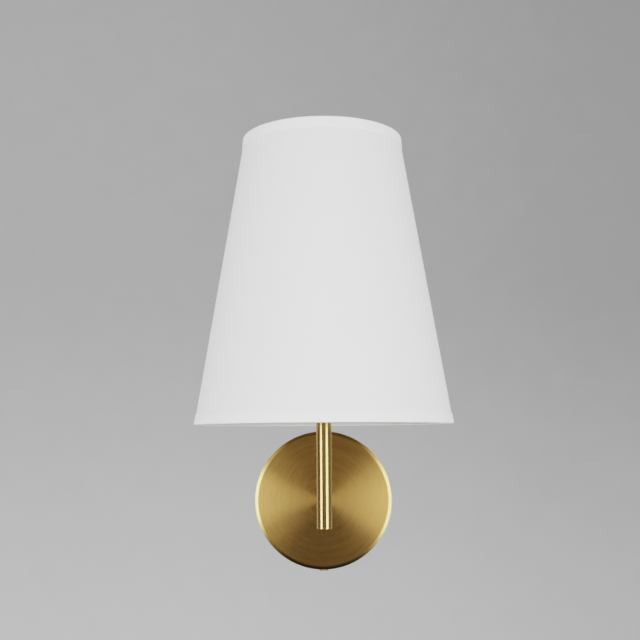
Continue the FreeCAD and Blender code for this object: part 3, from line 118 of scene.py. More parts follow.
class Graph:
    """The node tree of a material or of the world, written from Python."""

    def __init__(self, owner: Union[bpy.types.Material, bpy.types.World]) -> None:
        """Starts an empty tree.

        Args:
            owner: the material or world that it belongs to.
        """
        owner.use_nodes = True
        self.tree = owner.node_tree
        self.tree.nodes.clear()

    def node(
        self, kind: str, feeds: Optional[dict] = None, output: Union[int, str] = 0, **settings: object
    ) -> Signal:
        """Makes any node.

        Args:
            kind: the node's type, without the word that all of them start with.
            feeds: number, colour or signal of each of its sockets, by name or place.
            output: name or place of the output that is wanted.
            settings: its own settings, which are set first.

        Returns:
            That output.
        """
        made = self.tree.nodes.new("ShaderNode" + kind)
        for name, value in settings.items():
            setattr(made, name, value)
        for name, value in (feeds or {}).items():
            socket = made.inputs[name]
            if isinstance(value, Signal):
                self.tree.links.new(value.socket, socket)
            elif socket.type == "RGBA":
                socket.default_value = (*value, 1.0)
            else:
                socket.default_value = value
        return Signal(self, made.outputs[output] if made.outputs else None)

    def place(self, centre: Place = ORIGIN, scale: Place = (1.0, 1.0, 1.0)) -> Signal:
        """Object coordinates about a centre, each multiplied by its scale."""
        feeds = {"Location": tuple(-c * s for c, s in zip(centre, scale)), "Scale": scale}
        return self.node("Mapping", {"Vector": self.node("TexCoord", output="Object"), **feeds})

    def flat_pattern(self, grain: float = 0.0) -> Signal:
        """Place on the flat cloth, turned by the angle of its grain in radians."""
        here = self.node("UVMap", uv_map=FLAT_PATTERN)
        return self.node("Mapping", {"Vector": here, "Rotation": (0.0, 0.0, grain)})

    def parts(self, vector: Signal) -> tuple[Signal, ...]:
        """The three numbers of a vector."""
        outputs = self.node("SeparateXYZ", {0: vector}).socket.node.outputs
        return tuple(Signal(self, output) for output in outputs)

    def vector(self, x: Feed, y: Feed, z: Feed = 0.0) -> Signal:
        """A vector of three numbers."""
        return self.node("CombineXYZ", {0: x, 1: y, 2: z})

    def vectors(self, operation: str, feeds: dict) -> Signal:
        """One Vector Math node."""
        return self.node("VectorMath", feeds, operation=operation)

    def noise(self, vector: Signal, scale: float, detail: float = 2.0, harsh: float = 0.5) -> Signal:
        """Soft noise from 0 to 1."""
        return self.node("TexNoise", {"Vector": vector, "Scale": scale, "Detail": detail, "Roughness": harsh})

    def blend(self, first: Feed, second: Feed, share: Feed) -> Signal:
        """A colour between two colours."""
        return self.node("Mix", {0: share, 6: first, 7: second}, 2, data_type="RGBA")

    def bump(self, height: Signal, depth: float, strength: float = 1.0) -> Signal:
        """Normal of a relief of that depth."""
        return self.node("Bump", {"Height": height, "Distance": depth, "Strength": strength})

    def facing(self) -> Signal:
        """The surface's own normal."""
        return self.node("NewGeometry", output="Normal")

    def tipped(self, level: Signal, way: Signal, slope: Signal) -> Signal:
        """A normal, tipped along a way by a slope."""
        push = self.vectors("SCALE", {0: way, "Scale": slope})
        return self.vectors("NORMALIZE", {0: self.vectors("ADD", {0: level, 1: push})})

    def shader(self, **feeds: Feed) -> Signal:
        """One Principled shader, its sockets named with underscores in place of spaces."""
        return self.node("BsdfPrincipled", {name.replace("_", " "): value for name, value in feeds.items()})

    def mixed(self, first: Signal, second: Signal, share: Feed) -> Signal:
        """A shader between two shaders."""
        return self.node("MixShader", {0: share, 1: first, 2: second})

    def background(self, strength: float) -> Signal:
        """A white background of that strength."""
        return self.node("Background", {"Color": (1.0, 1.0, 1.0), "Strength": strength})

    def end(self, shader: Signal, kind: str = "Material") -> None:
        """Makes the shader the surface of the material or world."""
        self.node("Output" + kind, {"Surface": shader})


# Finishes


class Run(Enum):
    """The line that a finish follows, as the centre and the stretch of its pattern."""

    UP_THE_STEM = (STEM_FOOT, (1.0, 1.0, 0.03))
    ALONG_THE_ARM = (ORIGIN, (1.0, 0.03, 1.0))
    ACROSS = (ORIGIN, (0.05, 1.0, 1.0))

    def marks(self, graph: Graph, fineness: float, detail: float = 2.0, harsh: float = 0.6) -> Signal:
        """Marks that are drawn out along the line, so many of them side by side in a metre."""
        scale = tuple(part * fineness for part in self.value[1])
        return graph.noise(graph.place(self.value[0], scale), 1.0, detail, harsh)


@dataclass(frozen=True)
class Finish:
    """What every finish has: a name, two colours, a roughness, the depth of its relief, and one material."""

    name: str
    colour: Colour
    other: Colour
    roughness: float
    relief: float

    @functools.cache
    def material(self) -> bpy.types.Material:
        """Makes the material on first use.

        Returns:
            The material.
        """
        made = bpy.data.materials.new(self.name)
        self.paint(Graph(made))
        return made

    def coat(self, graph: Graph, share: Signal, dulled: Feed, height: Signal, **feeds: Feed) -> None:
        """Ends the material in one shader.

        Args:
            graph: the material's nodes.
            share: share of the other colour.
            dulled: what the pattern adds to the roughness.
            height: height of the relief, from 0 to 1.
            feeds: the shader's other sockets.
        """
        colour, relief = graph.blend(self.colour, self.other, share), graph.bump(height, self.relief)
        graph.end(graph.shader(Base_Color=colour, Roughness=dulled + self.roughness, Normal=relief, **feeds))

    def paint(self, graph: Graph) -> None:
        """Writes the material's nodes."""
        raise NotImplementedError


@dataclass(frozen=True)
class RingBrushedBrass(Finish):
    """Lacquered brass, brushed in rings about the arm's axis, with a buffed edge.

    The flanks of its grooves are shaders of their own, whose normals lean towards the centre or away from it.
    Buffing leaves the rounded edge with one lean to the front. The top and bottom of that edge are painted
    darker, a painted shade standing in for dark reflections above and below.
    """

    colour: Colour = (0.585, 0.362, 0.118)
    other: Colour = (0.46, 0.278, 0.087)
    roughness: float = 0.275
    relief: float = 0.0
    polish: Colour = (0.97, 0.66, 0.21)
    groove: float = 0.00022
    groove_breaks: float = 9.0
    streaks: float = 380.0
    streak_breaks: float = 1.6
    clouds: float = 26.0
    shallow: float = 0.20
    steep: float = 0.40
    edge: Pair = (0.0568, 0.0584)
    edge_lean: float = 0.42
    edge_turn: Pair = (0.01, 0.13)
    edge_painted_shade: Pair = (0.45, 0.8)

    def paint(self, graph: Graph) -> None:
        """Grooves follow the distance from the centre and run out along each ring.

        Args:
            graph: the material's nodes.
        """
        x, _, z = graph.parts(graph.place())
        ring = (x * x + z * z).root()
        across, up = x / ring, z / ring
        way = graph.vector(across, 0.0, up)
        _, inwards, _ = graph.parts(graph.facing())

        def ringed(fineness: float, breaks: float) -> Signal:
            """Coordinates that are fine across the rings and coarse along them."""
            return graph.vector(ring * fineness, across * breaks, up * breaks)

        grooves = graph.noise(ringed(1.0 / self.groove, self.groove_breaks), 1.0, 1.0)
        broad = graph.noise(ringed(self.streaks, self.streak_breaks), 1.0, 3.0, 0.6)
        cloud = graph.noise(graph.place(), self.clouds, 3.0)
        face = 1.0 - ring.step(*self.edge)
        tone = (grooves * 0.35 + (broad - 0.5) * 3.2 + cloud * 0.35 + 0.125) * (face * 0.8 + 0.2)
        # Painted shade: the edge's colour turns from polish to the darker brass at its top and bottom, for
        # the dark reflections there.
        edge = graph.blend(self.polish, self.other, (up * up).step(*self.edge_painted_shade))
        colour = graph.blend(edge, graph.blend(self.colour, self.other, tone), face)
        roughness = self.roughness + grooves * 0.02 * face + cloud * 0.02
        buffed = (1.0 - face) * (0.0 - inwards).step(*self.edge_turn)
        leaning = graph.vector(across * self.edge_lean, -1.0, up * self.edge_lean)
        level = graph.blend(graph.facing(), leaning, buffed)
        flanks = {
            slope: graph.shader(
                Base_Color=colour,
                Metallic=1.0,
                Roughness=roughness,
                Coat_Weight=face * 0.12 + 0.3,
                Coat_Roughness=0.45,
                Normal=graph.tipped(level, way, (grooves * 0.12 + (slope - 0.06)) * face),
            )
            for slope in (0.0, self.shallow, -self.shallow, self.steep, -self.steep)
        }
        shallow = graph.mixed(flanks[self.shallow], flanks[-self.shallow], 0.5)
        steep = graph.mixed(flanks[self.steep], flanks[-self.steep], 0.45)
        worked = (ring / self.edge[1]) ** 1.5 * 0.28 + (broad - 0.5) * 0.42 + (cloud - 0.5) * 0.12
        sides = graph.mixed(shallow, steep, 0.32 + worked)
        graph.end(graph.mixed(flanks[0.0], sides, 0.45 + worked))


@dataclass(frozen=True)
class DrawnBrass(Finish):
    """Satin brass tube with hairlines along its run."""

    colour: Colour = (0.81, 0.545, 0.205)
    other: Colour = (0.64, 0.40, 0.130)
    roughness: float = 0.11
    relief: float = 0.000004
    run: Run = Run.UP_THE_STEM
    fineness: float = 2600.0
    clouds: float = 60.0

    def paint(self, graph: Graph) -> None:
        """Hairlines, soft clouds of handling and a few deeper lines.

        Args:
            graph: the material's nodes.
        """
        hair = self.run.marks(graph, self.fineness)
        lines = self.run.marks(graph, self.fineness * 0.3, 1.0, 0.5)
        cloud = graph.noise(graph.place(self.run.value[0]), self.clouds, 4.0, 0.6)
        share = cloud.step(0.42, 0.8) * 0.5 + hair * 0.18
        height = hair * 0.6 + lines.step(0.6, 0.8) * 0.4
        self.coat(graph, share, hair * 0.08 + cloud * 0.05, height, Metallic=1.0)


@dataclass(frozen=True)
class PlainMetal(Finish):
    """Turned, pressed or plated metal with tool marks, stains and brighter high spots."""

    colour: Colour = (0.62, 0.63, 0.65)
    other: Colour = (0.45, 0.44, 0.42)
    roughness: float = 0.34
    relief: float = 0.000012
    run: Run = Run.ACROSS
    fineness: float = 1500.0
    blotches: float = 180.0
    grain: float = 2600.0

    def paint(self, graph: Graph) -> None:
        """Brushed marks along the run under blotches of plating.

        Args:
            graph: the material's nodes.
        """
        marks = self.run.marks(graph, self.fineness)
        blotch = graph.noise(graph.place(), self.blotches, 4.0, 0.65)
        grain = graph.noise(graph.place(), self.grain, 1.0)
        share = blotch.step(0.40, 0.72) * 0.7 + marks * 0.15
        self.coat(graph, share, blotch * 0.16 + marks * 0.08, marks * 0.6 + grain * 0.4, Metallic=1.0)


@dataclass(frozen=True)
class Moulded(Finish):
    """Moulded plastic, resin or enamel: fine orange peel, flow marks and a little dust."""

    colour: Colour = (0.014, 0.014, 0.015)
    other: Colour = (0.030, 0.029, 0.028)
    roughness: float = 0.30
    relief: float = 0.00003
    peel: float = 900.0
    glaze: float = 0.0
    specks: float = 0.0
    flow_marks: float = 90.0
    dust: float = 3200.0

    def paint(self, graph: Graph) -> None:
        """Orange peel in the relief, flow marks and specks in the colour.

        Args:
            graph: the material's nodes.
        """
        peel = graph.noise(graph.place(), self.peel, 2.0)
        flow = graph.noise(graph.place(scale=(1.0, 1.0, 0.35)), self.flow_marks, 4.0, 0.6)
        dust = graph.noise(graph.place(), self.dust, 0.0)
        share = flow.step(0.35, 0.75) + dust.step(0.66, 0.78) * self.specks
        dulled, height = flow * 0.12 + dust * 0.05, peel * 0.8 + dust * 0.2
        self.coat(graph, share, dulled, height, Coat_Weight=self.glaze, Coat_Roughness=0.06)


@dataclass(frozen=True)
class LeadSkin(Finish):
    """Extruded insulation with faint drag lines, dulled where it was handled."""

    colour: Colour = (0.02, 0.02, 0.022)
    other: Colour = (0.05, 0.05, 0.052)
    roughness: float = 0.36
    relief: float = 0.00001
    mottle: float = 320.0
    pimples: float = 4200.0

    def paint(self, graph: Graph) -> None:
        """A soft mottle and fine pimples.

        Args:
            graph: the material's nodes.
        """
        mottle = graph.noise(graph.place(), self.mottle, 3.0)
        pimple = graph.noise(graph.place(), self.pimples, 1.0)
        self.coat(graph, mottle.step(0.4, 0.8) * 0.8 + pimple * 0.2, mottle * 0.2, pimple)


@dataclass(frozen=True)
class WovenCloth(Finish):
    """Fine plain weave with slubs, glued flat, with painted shade in the hollows between the threads; the
    threads follow the flat pattern.
    """

    colour: Colour = (0.785, 0.781, 0.803)
    other: Colour = (0.84, 0.838, 0.848)
    roughness: float = 0.80
    relief: float = 0.00005
    hollow_shade: Colour = (0.66, 0.66, 0.68)
    grain: float = 0.0
    pitch: float = 0.00044
    slub_scale: Pair = (2400.0, 55.0)
    clouds: float = 22.0

    def paint(self, graph: Graph) -> None:
        """Warp and weft pass over each other in turn, slubs run along both, and the hollows between the
        threads get painted shade.

        Args:
            graph: the material's nodes.
        """
        u, v, _ = graph.parts(graph.flat_pattern(math.radians(self.grain)))
        warp, weft = ((along * (math.pi / self.pitch)).sine() for along in (u, v))
        crossing = (warp * weft).step(-0.5, 0.5)
        weave = abs(warp) * crossing + abs(weft) * (1.0 - crossing)
        fine, coarse = self.slub_scale
        up_slub = graph.noise(graph.vector(u * fine, v * coarse), 1.0, 2.0, 0.6)
        side_slub = graph.noise(graph.vector(u * coarse, v * fine, 3.0), 1.0, 2.0, 0.6)
        slubs = up_slub.step(0.55, 0.85).larger(side_slub.step(0.55, 0.85))
        cloud = graph.noise(graph.vector(u, v), self.clouds, 3.0)
        # Painted shade: the hollows between the threads take the darker hollow colour.
        tone = graph.blend(self.hollow_shade, self.colour, weave.step(0.0, 0.65) * 0.85 + cloud * 0.3)
        shader = graph.shader(
            Base_Color=graph.blend(tone, self.other, slubs * 0.5),
            Roughness=self.roughness + cloud * 0.08,
            Sheen_Weight=0.12,
            Sheen_Roughness=0.45,
            Specular_IOR_Level=0.25,
            Normal=graph.bump(weave * 0.75 + slubs * 0.25, self.relief, 0.6),
        )
        graph.end(shader)


@dataclass(frozen=True)
class CardLining(Finish):
    """Stiff white lining sheet with faint rolling lines and a fine tooth; its white is painted down to grey,
    a painted shade for the dim inside of the shade.
    """

    # Grey in place of the sheet's white: painted shade for the inside of the shade.
    colour: Colour = (0.61, 0.605, 0.59)
    other: Colour = (0.545, 0.535, 0.515)
    roughness: float = 0.46
    relief: float = 0.00002
    rolling: Pair = (8.0, 900.0)
    tooth: float = 3000.0
    clouds: float = 30.0

    def paint(self, graph: Graph) -> None:
        """Rolling lines lie round the shade.

        Args:
            graph: the material's nodes.
        """
        u, v, _ = graph.parts(graph.flat_pattern())
        rolled = graph.noise(graph.vector(u * self.rolling[0], v * self.rolling[1]), 1.0, 2.0)
        tooth = graph.noise(graph.vector(u, v), self.tooth, 1.0)
        cloud = graph.noise(graph.vector(u, v), self.clouds, 3.0)
        self.coat(graph, cloud * 0.6 + rolled * 0.3, rolled * 0.1 + tooth * 0.08, tooth * 0.5 + rolled * 0.5)


@dataclass(frozen=True)
class OpalGlass(Finish):
    """Satin glass bulb, greyer near the neck, where its works lie behind the glass, and white above."""

    colour: Colour = (0.62, 0.62, 0.60)
    other: Colour = (0.86, 0.86, 0.845)
    roughness: float = 0.30
    relief: float = 0.000006
    clearing: Pair = (0.150, 0.172)
    clouds: float = 70.0
    grain: float = 2600.0

    def paint(self, graph: Graph) -> None:
        """The coating is thin at the neck and faintly clouded above.

        Args:
            graph: the material's nodes.
        """
        _, _, up = graph.parts(graph.place())
        cloud = graph.noise(graph.place(), self.clouds, 3.0)
        grain = graph.noise(graph.place(), self.grain, 1.0)
        share, dulled = up.step(*self.clearing) * 0.9 + cloud * 0.1, cloud * 0.08 + grain * 0.05
        self.coat(graph, share, dulled, grain, Coat_Weight=0.25, Coat_Roughness=0.15)


@dataclass(frozen=True)
class FloorPaint(Finish):
    """Matt pale grey paint, with painted shade that darkens it up the sweep and to the right."""

    colour: Colour = (0.88, 0.88, 0.88)
    other: Colour = (0.44, 0.44, 0.44)
    roughness: float = 0.85
    relief: float = 0.0002
    rise: Pair = (-0.95, 0.75)
    painted_shade_across: Pair = (-1.6, 1.6)
    mottle: float = 14.0
    roller: float = 320.0

    def paint(self, graph: Graph) -> None:
        """A soft roller texture over a slow painted shade, darker up the sweep and to the right.

        Args:
            graph: the material's nodes.
        """
        side, _, up = graph.parts(graph.place())
        mottle = graph.noise(graph.place(), self.mottle, 3.0)
        # Painted shade: the colour darkens up the sweep and to the right, standing in for light falling off
        # across the backdrop.
        share = up.step(*self.rise) * 0.6 + side.step(*self.painted_shade_across) * 0.38 + mottle * 0.1
        self.coat(graph, share, 0.0, graph.noise(graph.place(), self.roller, 2.0))


class Finishes:
    """The finishes of this wall light, by the piece that they are for."""

    backplate = RingBrushedBrass("ring_brushed_brass")
    stem = DrawnBrass("stem_satin_brass")
    arm = DrawnBrass("arm_satin_brass", run=Run.ALONG_THE_ARM)
    plug = PlainMetal("plug_satin_brass", (0.81, 0.545, 0.205), (0.64, 0.40, 0.130), 0.16, 0.000004)
    threads = PlainMetal("turned_brass", (0.72, 0.50, 0.21), (0.46, 0.29, 0.11), 0.27)
    screws = PlainMetal("screw_brass", (0.78, 0.52, 0.19), (0.50, 0.31, 0.10), 0.2, 0.000006)
    braze = PlainMetal("brazing", (0.74, 0.55, 0.27), (0.55, 0.37, 0.15), 0.24, 0.00003)
    zinc = PlainMetal("zinc_plate", (0.66, 0.68, 0.71), (0.47, 0.46, 0.42), 0.3)
    tag = PlainMetal("tinned_copper", (0.74, 0.72, 0.69), (0.52, 0.49, 0.45), 0.26)
    green = PlainMetal("green_dyed_zinc", (0.10, 0.36, 0.17), (0.05, 0.20, 0.09), 0.3)
    contact = PlainMetal("contact_bronze", (0.74, 0.52, 0.30), (0.45, 0.29, 0.16), 0.28)
    shell = PlainMetal("nickelled_brass", (0.70, 0.66, 0.56), (0.52, 0.47, 0.36), 0.22)
    cap = PlainMetal("cap_aluminium", (0.74, 0.74, 0.745), (0.58, 0.58, 0.57), 0.27)
    solder = PlainMetal("solder", (0.50, 0.50, 0.51), (0.33, 0.33, 0.34), 0.38, 0.00008)
    holder = Moulded("black_resin", specks=0.6)
    ring_nut = Moulded("black_ring_resin", colour=(0.011, 0.011, 0.012), roughness=0.36, specks=0.5)
    porcelain = Moulded(
        "glazed_porcelain", (0.78, 0.77, 0.73), (0.70, 0.685, 0.64), 0.16, 0.00002, 500.0, 0.7, 0.5
    )
    wirework = Moulded("white_powder_coat", (0.78, 0.78, 0.765), (0.70, 0.70, 0.68), 0.34, 0.00004, 1100.0)
    connector = Moulded("orange_plastic", (0.72, 0.19, 0.02), (0.60, 0.13, 0.012), 0.34, 0.00002)
    vitrite = Moulded("black_glass", (0.010, 0.010, 0.014), (0.022, 0.018, 0.026), 0.06, 0.00006, 300.0, 0.6)
    black_lead = LeadSkin("black_insulation")
    white_lead = LeadSkin("white_insulation", (0.72, 0.72, 0.70), (0.58, 0.575, 0.54))
    green_lead = LeadSkin("green_insulation", (0.03, 0.28, 0.09), (0.05, 0.34, 0.13))
    cloth = WovenCloth("shade_cloth")
    hem = WovenCloth(
        "hem_cloth", (0.83, 0.82, 0.805), (0.87, 0.86, 0.845), hollow_shade=(0.73, 0.72, 0.705), grain=45.0
    )
    lining = CardLining("shade_lining")
    glass = OpalGlass("opal_glass")
    floor = FloorPaint("floor_paint")


# Making pieces


def fade(along: float, start: float, end: float, width: float) -> float:
    """How fully a pattern is cut: 1 between its two ends, falling to 0 at each over a width."""
    return min(1.0, max(0.0, min(along - start, end - along) / width))


def rod(radius: float, start: float, end: float) -> Outline:
    """Outline of a plain rod."""
    return (0.0, start), (radius, start), (radius, end), (0.0, end)


def only(geom: Iterable, kind: type) -> list:
    """The vertices, edges or faces among the elements of a mesh."""
    return [item for item in geom if isinstance(item, kind)]


def rounded(bm: Mesh, geom: list, offset: float, affect: str, segments: int) -> None:
    """Rounds corners or edges.

    Args:
        bm: the mesh.
        geom: the vertices or edges to round.
        offset: how far from them the rounding starts.
        affect: whether vertices or edges are rounded.
        segments: faces across the rounding.
    """
    bmesh.ops.bevel(
        bm, geom=geom, offset=offset, offset_type="OFFSET", affect=affect, segments=segments, profile=0.5,
        material=-1, clamp_overlap=affect == "EDGES",
    )


def spin(bm: Mesh, centre: Place, axis: Place, angle: float, steps: int, closed: bool) -> list:
    """Spins a whole mesh about a line.

    Args:
        bm: the mesh.
        centre: a point on the line.
        axis: the way of the line.
        angle: how far it is spun.
        steps: faces round the line.
        closed: whether its end is joined to its start.

    Returns:
        The vertices and edges at its end.
    """
    return bmesh.ops.spin(
        bm, geom=[*bm.verts, *bm.edges], cent=centre, axis=axis, dvec=(0.0, 0.0, 0.0), angle=angle,
        steps=steps, use_merge=closed, use_duplicate=False,
    )["geom_last"]


@dataclass(frozen=True)
class Spindle:
    """A line that pieces are turned about, and the side on which their outline is drawn.

    Its fields are a point on the line, the way along it and the way of the outline.
    """

    origin: Place
    way: Place
    side: Place

    def at(self, radius: float, along: float) -> Vector:
        """The point at a distance from the line and along it."""
        return Vector(self.origin) + Vector(self.way) * along + Vector(self.side) * radius

    def polar(self, point: Vector) -> Place:
        """Finds a point from the line.

        Args:
            point: the point.

        Returns:
            Its distance from the line, its bearing about it and its place along it.
        """
        arm = point - Vector(self.origin)
        way, side = Vector(self.way), Vector(self.side)
        along = arm.dot(way)
        out = arm - way * along
        return out.length, math.atan2(out.dot(way.cross(side)), out.dot(side)), along

    def drawn_in(self, point: Vector, along: float, share: float) -> Vector:
        """A point at that place along the line, its distance from the line made that share of what it was."""
        middle = self.at(0.0, along)
        return middle + (point - middle) * share


STEM = Spindle(STEM_FOOT, UP, FRONT)
ARM = Spindle(ORIGIN, FRONT, UP)


@dataclass(frozen=True)
class Thread:
    """A screw thread cut into a turned wall.

    Its fields are its pitch and depth, where it starts and ends along the line, the radius from which the
    wall is cut, and how sharp its crests are.
    """

    pitch: float
    depth: float
    start: float
    end: float
    from_radius: float
    sharpness: float = 1.0

    def cut(self, bearing: float, along: float) -> float:
        """How far the wall is cut at a bearing about the line and a place along it."""
        wave = 0.5 + 0.5 * math.cos(FULL_TURN * along / self.pitch - bearing)
        return self.depth * fade(along, self.start, self.end, 0.6 * self.pitch) * (1.0 - wave**self.sharpness)


@dataclass(frozen=True)
class Turning:
    """How a piece is turned.

    Its fields are the (radius, along) corners of its closed outline in order, the faces round the line, the
    radius of each rounded corner by its place in the outline, the longest edge along a wall that is cut or
    bent afterwards, where 0 leaves the edges whole, and its thread.
    """

    outline: Outline
    steps: int
    rounds: dict[int, float] = field(default_factory=dict)
    rows: float = 0.0
    thread: Optional[Thread] = None

    def set_back(self, place: int) -> float:
        """How far from a corner its rounding starts.

        Args:
            place: the corner's place in the outline.

        Returns:
            The distance.
        """
        here = Vector(self.outline[place])
        before = (Vector(self.outline[place - 1]) - here).normalized()
        after = (Vector(self.outline[(place + 1) % len(self.outline)]) - here).normalized()
        return self.rounds[place] / math.tan(before.angle(after) / 2.0)


@dataclass(frozen=True)
class Shank:
    """A screw's threaded shank.

    Its fields are its radius, the radius of its tip and where the chamfer behind the tip ends, how far it
    runs into the head, the pitch, depth and core of its thread, and its faces round and along.
    """

    radius: float
    tip: Pair
    rooted: float
    pitch: float
    depth: float
    core: float
    steps: int
    rows: float = 0.0001

    def turning(self, start: float, seat: float) -> Turning:
        """The shank between its tip and the seat of its head.

        Args:
            start: place of the tip.
            seat: place of the seat.

        Returns:
            How it is turned.
        """
        root = seat + self.rooted
        blunt, chamfered = (self.tip[0], start), (self.radius, self.tip[1])
        outline = ((0.0, start), blunt, chamfered, (self.radius, root), (0.0, root))
        thread = Thread(self.pitch, self.depth, start, seat, self.core)
        return Turning(outline, self.steps, rows=self.rows, thread=thread)


@dataclass(frozen=True)
class RoundHead:
    """A screw's round head: radius and height, the radius of its edge, width and depth of its slot."""

    radius: float
    height: float
    dome: float
    slot: Pair
    steps: int = 48


class Workpiece:
    """A mesh on its way to becoming one named piece of the light."""

    def __init__(self, name: str) -> None:
        """Starts an empty mesh."""
        self.name = name
        self.bm = bmesh.new()

    def add(self, other: Mesh) -> "Workpiece":
        """Adds a finished mesh, and frees it.

        Args:
            other: the mesh.

        Returns:
            This piece.
        """
        holder = bpy.data.meshes.new("part")
        other.to_mesh(holder)
        other.free()
        self.bm.from_mesh(holder)
        bpy.data.meshes.remove(holder)
        return self

    def turned(self, spindle: Spindle, turning: Turning) -> "Workpiece":
        """Turns a closed outline about a line, and cuts its thread.

        Args:
            spindle: the line.
            turning: how it is turned.

        Returns:
            This piece.
        """
        bm = bmesh.new()
        corners = [bm.verts.new(spindle.at(radius, along)) for radius, along in turning.outline]
        for ends in zip(corners, corners[1:] + corners[:1]):
            bm.edges.new(ends)
        for place in turning.rounds:
            rounded(bm, [corners[place]], turning.set_back(place), "VERTICES", 5)
        if turning.rows:
            for edge in list(bm.edges):
                cuts = int(edge.calc_length() / turning.rows)
                if cuts:
                    bmesh.ops.subdivide_edges(bm, edges=[edge], cuts=cuts)
        spin(bm, spindle.origin, spindle.way, FULL_TURN, turning.steps, closed=True)
        bmesh.ops.remove_doubles(bm, verts=bm.verts, dist=TOUCHING)
        bmesh.ops.recalc_face_normals(bm, faces=bm.faces)
        thread = turning.thread
        for vert in bm.verts if thread else ():
            radius, bearing, along = spindle.polar(vert.co)
            if radius >= thread.from_radius and thread.start <= along <= thread.end:
                out = (vert.co - spindle.at(0.0, along)).normalized()
                vert.co -= out * thread.cut(bearing, along)
        return self.add(bm)

    def block(self, corners: Sequence[Vector], push: Vector, bevel: float = 0.0) -> "Workpiece":
        """Pushes a flat outline into a solid.

        Args:
            corners: its corners, in order.
            push: way and depth of the push.
            bevel: width of the rounded edges.

        Returns:
            This piece.
        """
        bm = bmesh.new()
        face = bm.faces.new([bm.verts.new(corner) for corner in corners])
        pushed = bmesh.ops.extrude_face_region(bm, geom=[face])["geom"]
        bmesh.ops.translate(bm, verts=only(pushed, bmesh.types.BMVert), vec=push)
        bmesh.ops.recalc_face_normals(bm, faces=bm.faces)
        if bevel:
            rounded(bm, list(bm.edges), bevel, "EDGES", 2)
        return self.add(bm)

    def slotted_head(self, spindle: Spindle, seat: float, head: RoundHead) -> "Workpiece":
        """A round screw head with a driver slot.

        Args:
            spindle: the screw's line.
            seat: place of the head's seat along it.
            head: the head's sizes.

        Returns:
            This piece.
        """
        width, depth = head.slot
        top = seat + head.height
        floor = top - depth
        self.turned(spindle, Turning(rod(head.radius, seat, floor), head.steps))
        across = Vector(spindle.side).cross(Vector(spindle.way))
        for hand in HANDS:
            half = Workpiece("half_head")
            half.turned(spindle, Turning(rod(head.radius, floor, top), head.steps, {2: head.dome}))
            bmesh.ops.bisect_plane(
                half.bm, geom=[*half.bm.verts, *half.bm.edges, *half.bm.faces], plane_no=across * hand,
                plane_co=Vector(spindle.origin) + across * (hand * width / 2.0), clear_inner=True,
            )
            bmesh.ops.holes_fill(half.bm, edges=[edge for edge in half.bm.edges if edge.is_boundary])
            bmesh.ops.recalc_face_normals(half.bm, faces=half.bm.faces)
            self.add(half.bm)
        return self

    def bead(self, centre: Vector, size: Place, turn: float, seed: float) -> "Workpiece":
        """A small uneven bead of weld.

        Args:
            centre: its middle.
            size: its half sizes.
            turn: its turn about the upright.
            seed: shifts the unevenness of its skin.

        Returns:
            This piece.
        """
        bm = bmesh.new()
        bmesh.ops.create_icosphere(bm, subdivisions=3, radius=1.0)
        for vert in bm.verts:
            way = vert.co.normalized()
            vert.co *= 1.0 + 0.07 * math.sin(way.x * 7.0 + seed) * math.sin(way.y * 6.0 + 2.0 * seed)
        bmesh.ops.scale(bm, vec=size, verts=bm.verts)
        bmesh.ops.rotate(bm, cent=ORIGIN, matrix=Matrix.Rotation(turn, 3, "Z"), verts=bm.verts)
        bmesh.ops.translate(bm, vec=centre, verts=bm.verts)
        return self.add(bm)

    def bent(self, move: Callable[[Vector], Vector]) -> "Workpiece":
        """Moves every point by a rule.

        Args:
            move: gives the new place of a point.

        Returns:
            This piece.
        """
        for vert in self.bm.verts:
            vert.co = move(vert.co)
        return self

    def mapped(self, place: Callable[[float, float, float], Pair]) -> "Workpiece":
        """Gives each face corner its place on the flat pattern, whose joint lies at the back of the stem.

        Args:
            place: takes a corner's radius, bearing and height about the stem, and gives the place.

        Returns:
            This piece.
        """
        layer = self.bm.loops.layers.uv.new(FLAT_PATTERN)
        for face in self.bm.faces:
            _, face_bearing, _ = STEM.polar(face.calc_center_median())
            for loop in face.loops:
                radius, bearing, height = STEM.polar(loop.vert.co)
                bearing += FULL_TURN * round((face_bearing - bearing) / FULL_TURN)
                loop[layer].uv = place(radius, bearing, height)
        return self

    def done(self, body: str, slot: str, finish: Finish, *replaces: str) -> bpy.types.Object:
        """Makes the named piece.

        Args:
            body: body that it rides on.
            slot: name of a material slot; not used.
            finish: its finish.
            replaces: nodes that it stands for.

        Returns:
            The piece's object.
        """
        piece = dressed_object(self.name, self.bm, finish)
        piece.data.set_sharp_from_angle(angle=math.radians(SHARP_EDGE))
        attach(piece, body)
        if replaces:
            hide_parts(*replaces)
        LOG.info("%s: %d faces on %s", self.name, len(piece.data.polygons), body)
        return piece


def dressed_object(name: str, bm: Mesh, finish: Finish) -> bpy.types.Object:
    """Makes a smooth object of a mesh.

    Args:
        name: name of the object.
        bm: the mesh, which is freed.
        finish: its finish.

    Returns:
        The object.
    """
    mesh = bpy.data.meshes.new(name)
    bm.to_mesh(mesh)
    bm.free()
    mesh.shade_smooth()
    mesh.materials.append(finish.material())
    made = bpy.data.objects.new(name, mesh)
    bpy.context.scene.collection.objects.link(made)
    return made


def dress(finish: Finish, *nodes: str) -> None:
    """Gives a finish to nodes that keep their shape.

    Args:
        finish: the finish.
        nodes: names of the nodes.
    """
    for name in nodes:
        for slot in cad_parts[name].material_slots:
            slot.material = finish.material()
        LOG.info("%s: %s", name, finish.name)


# Sub-assemblies


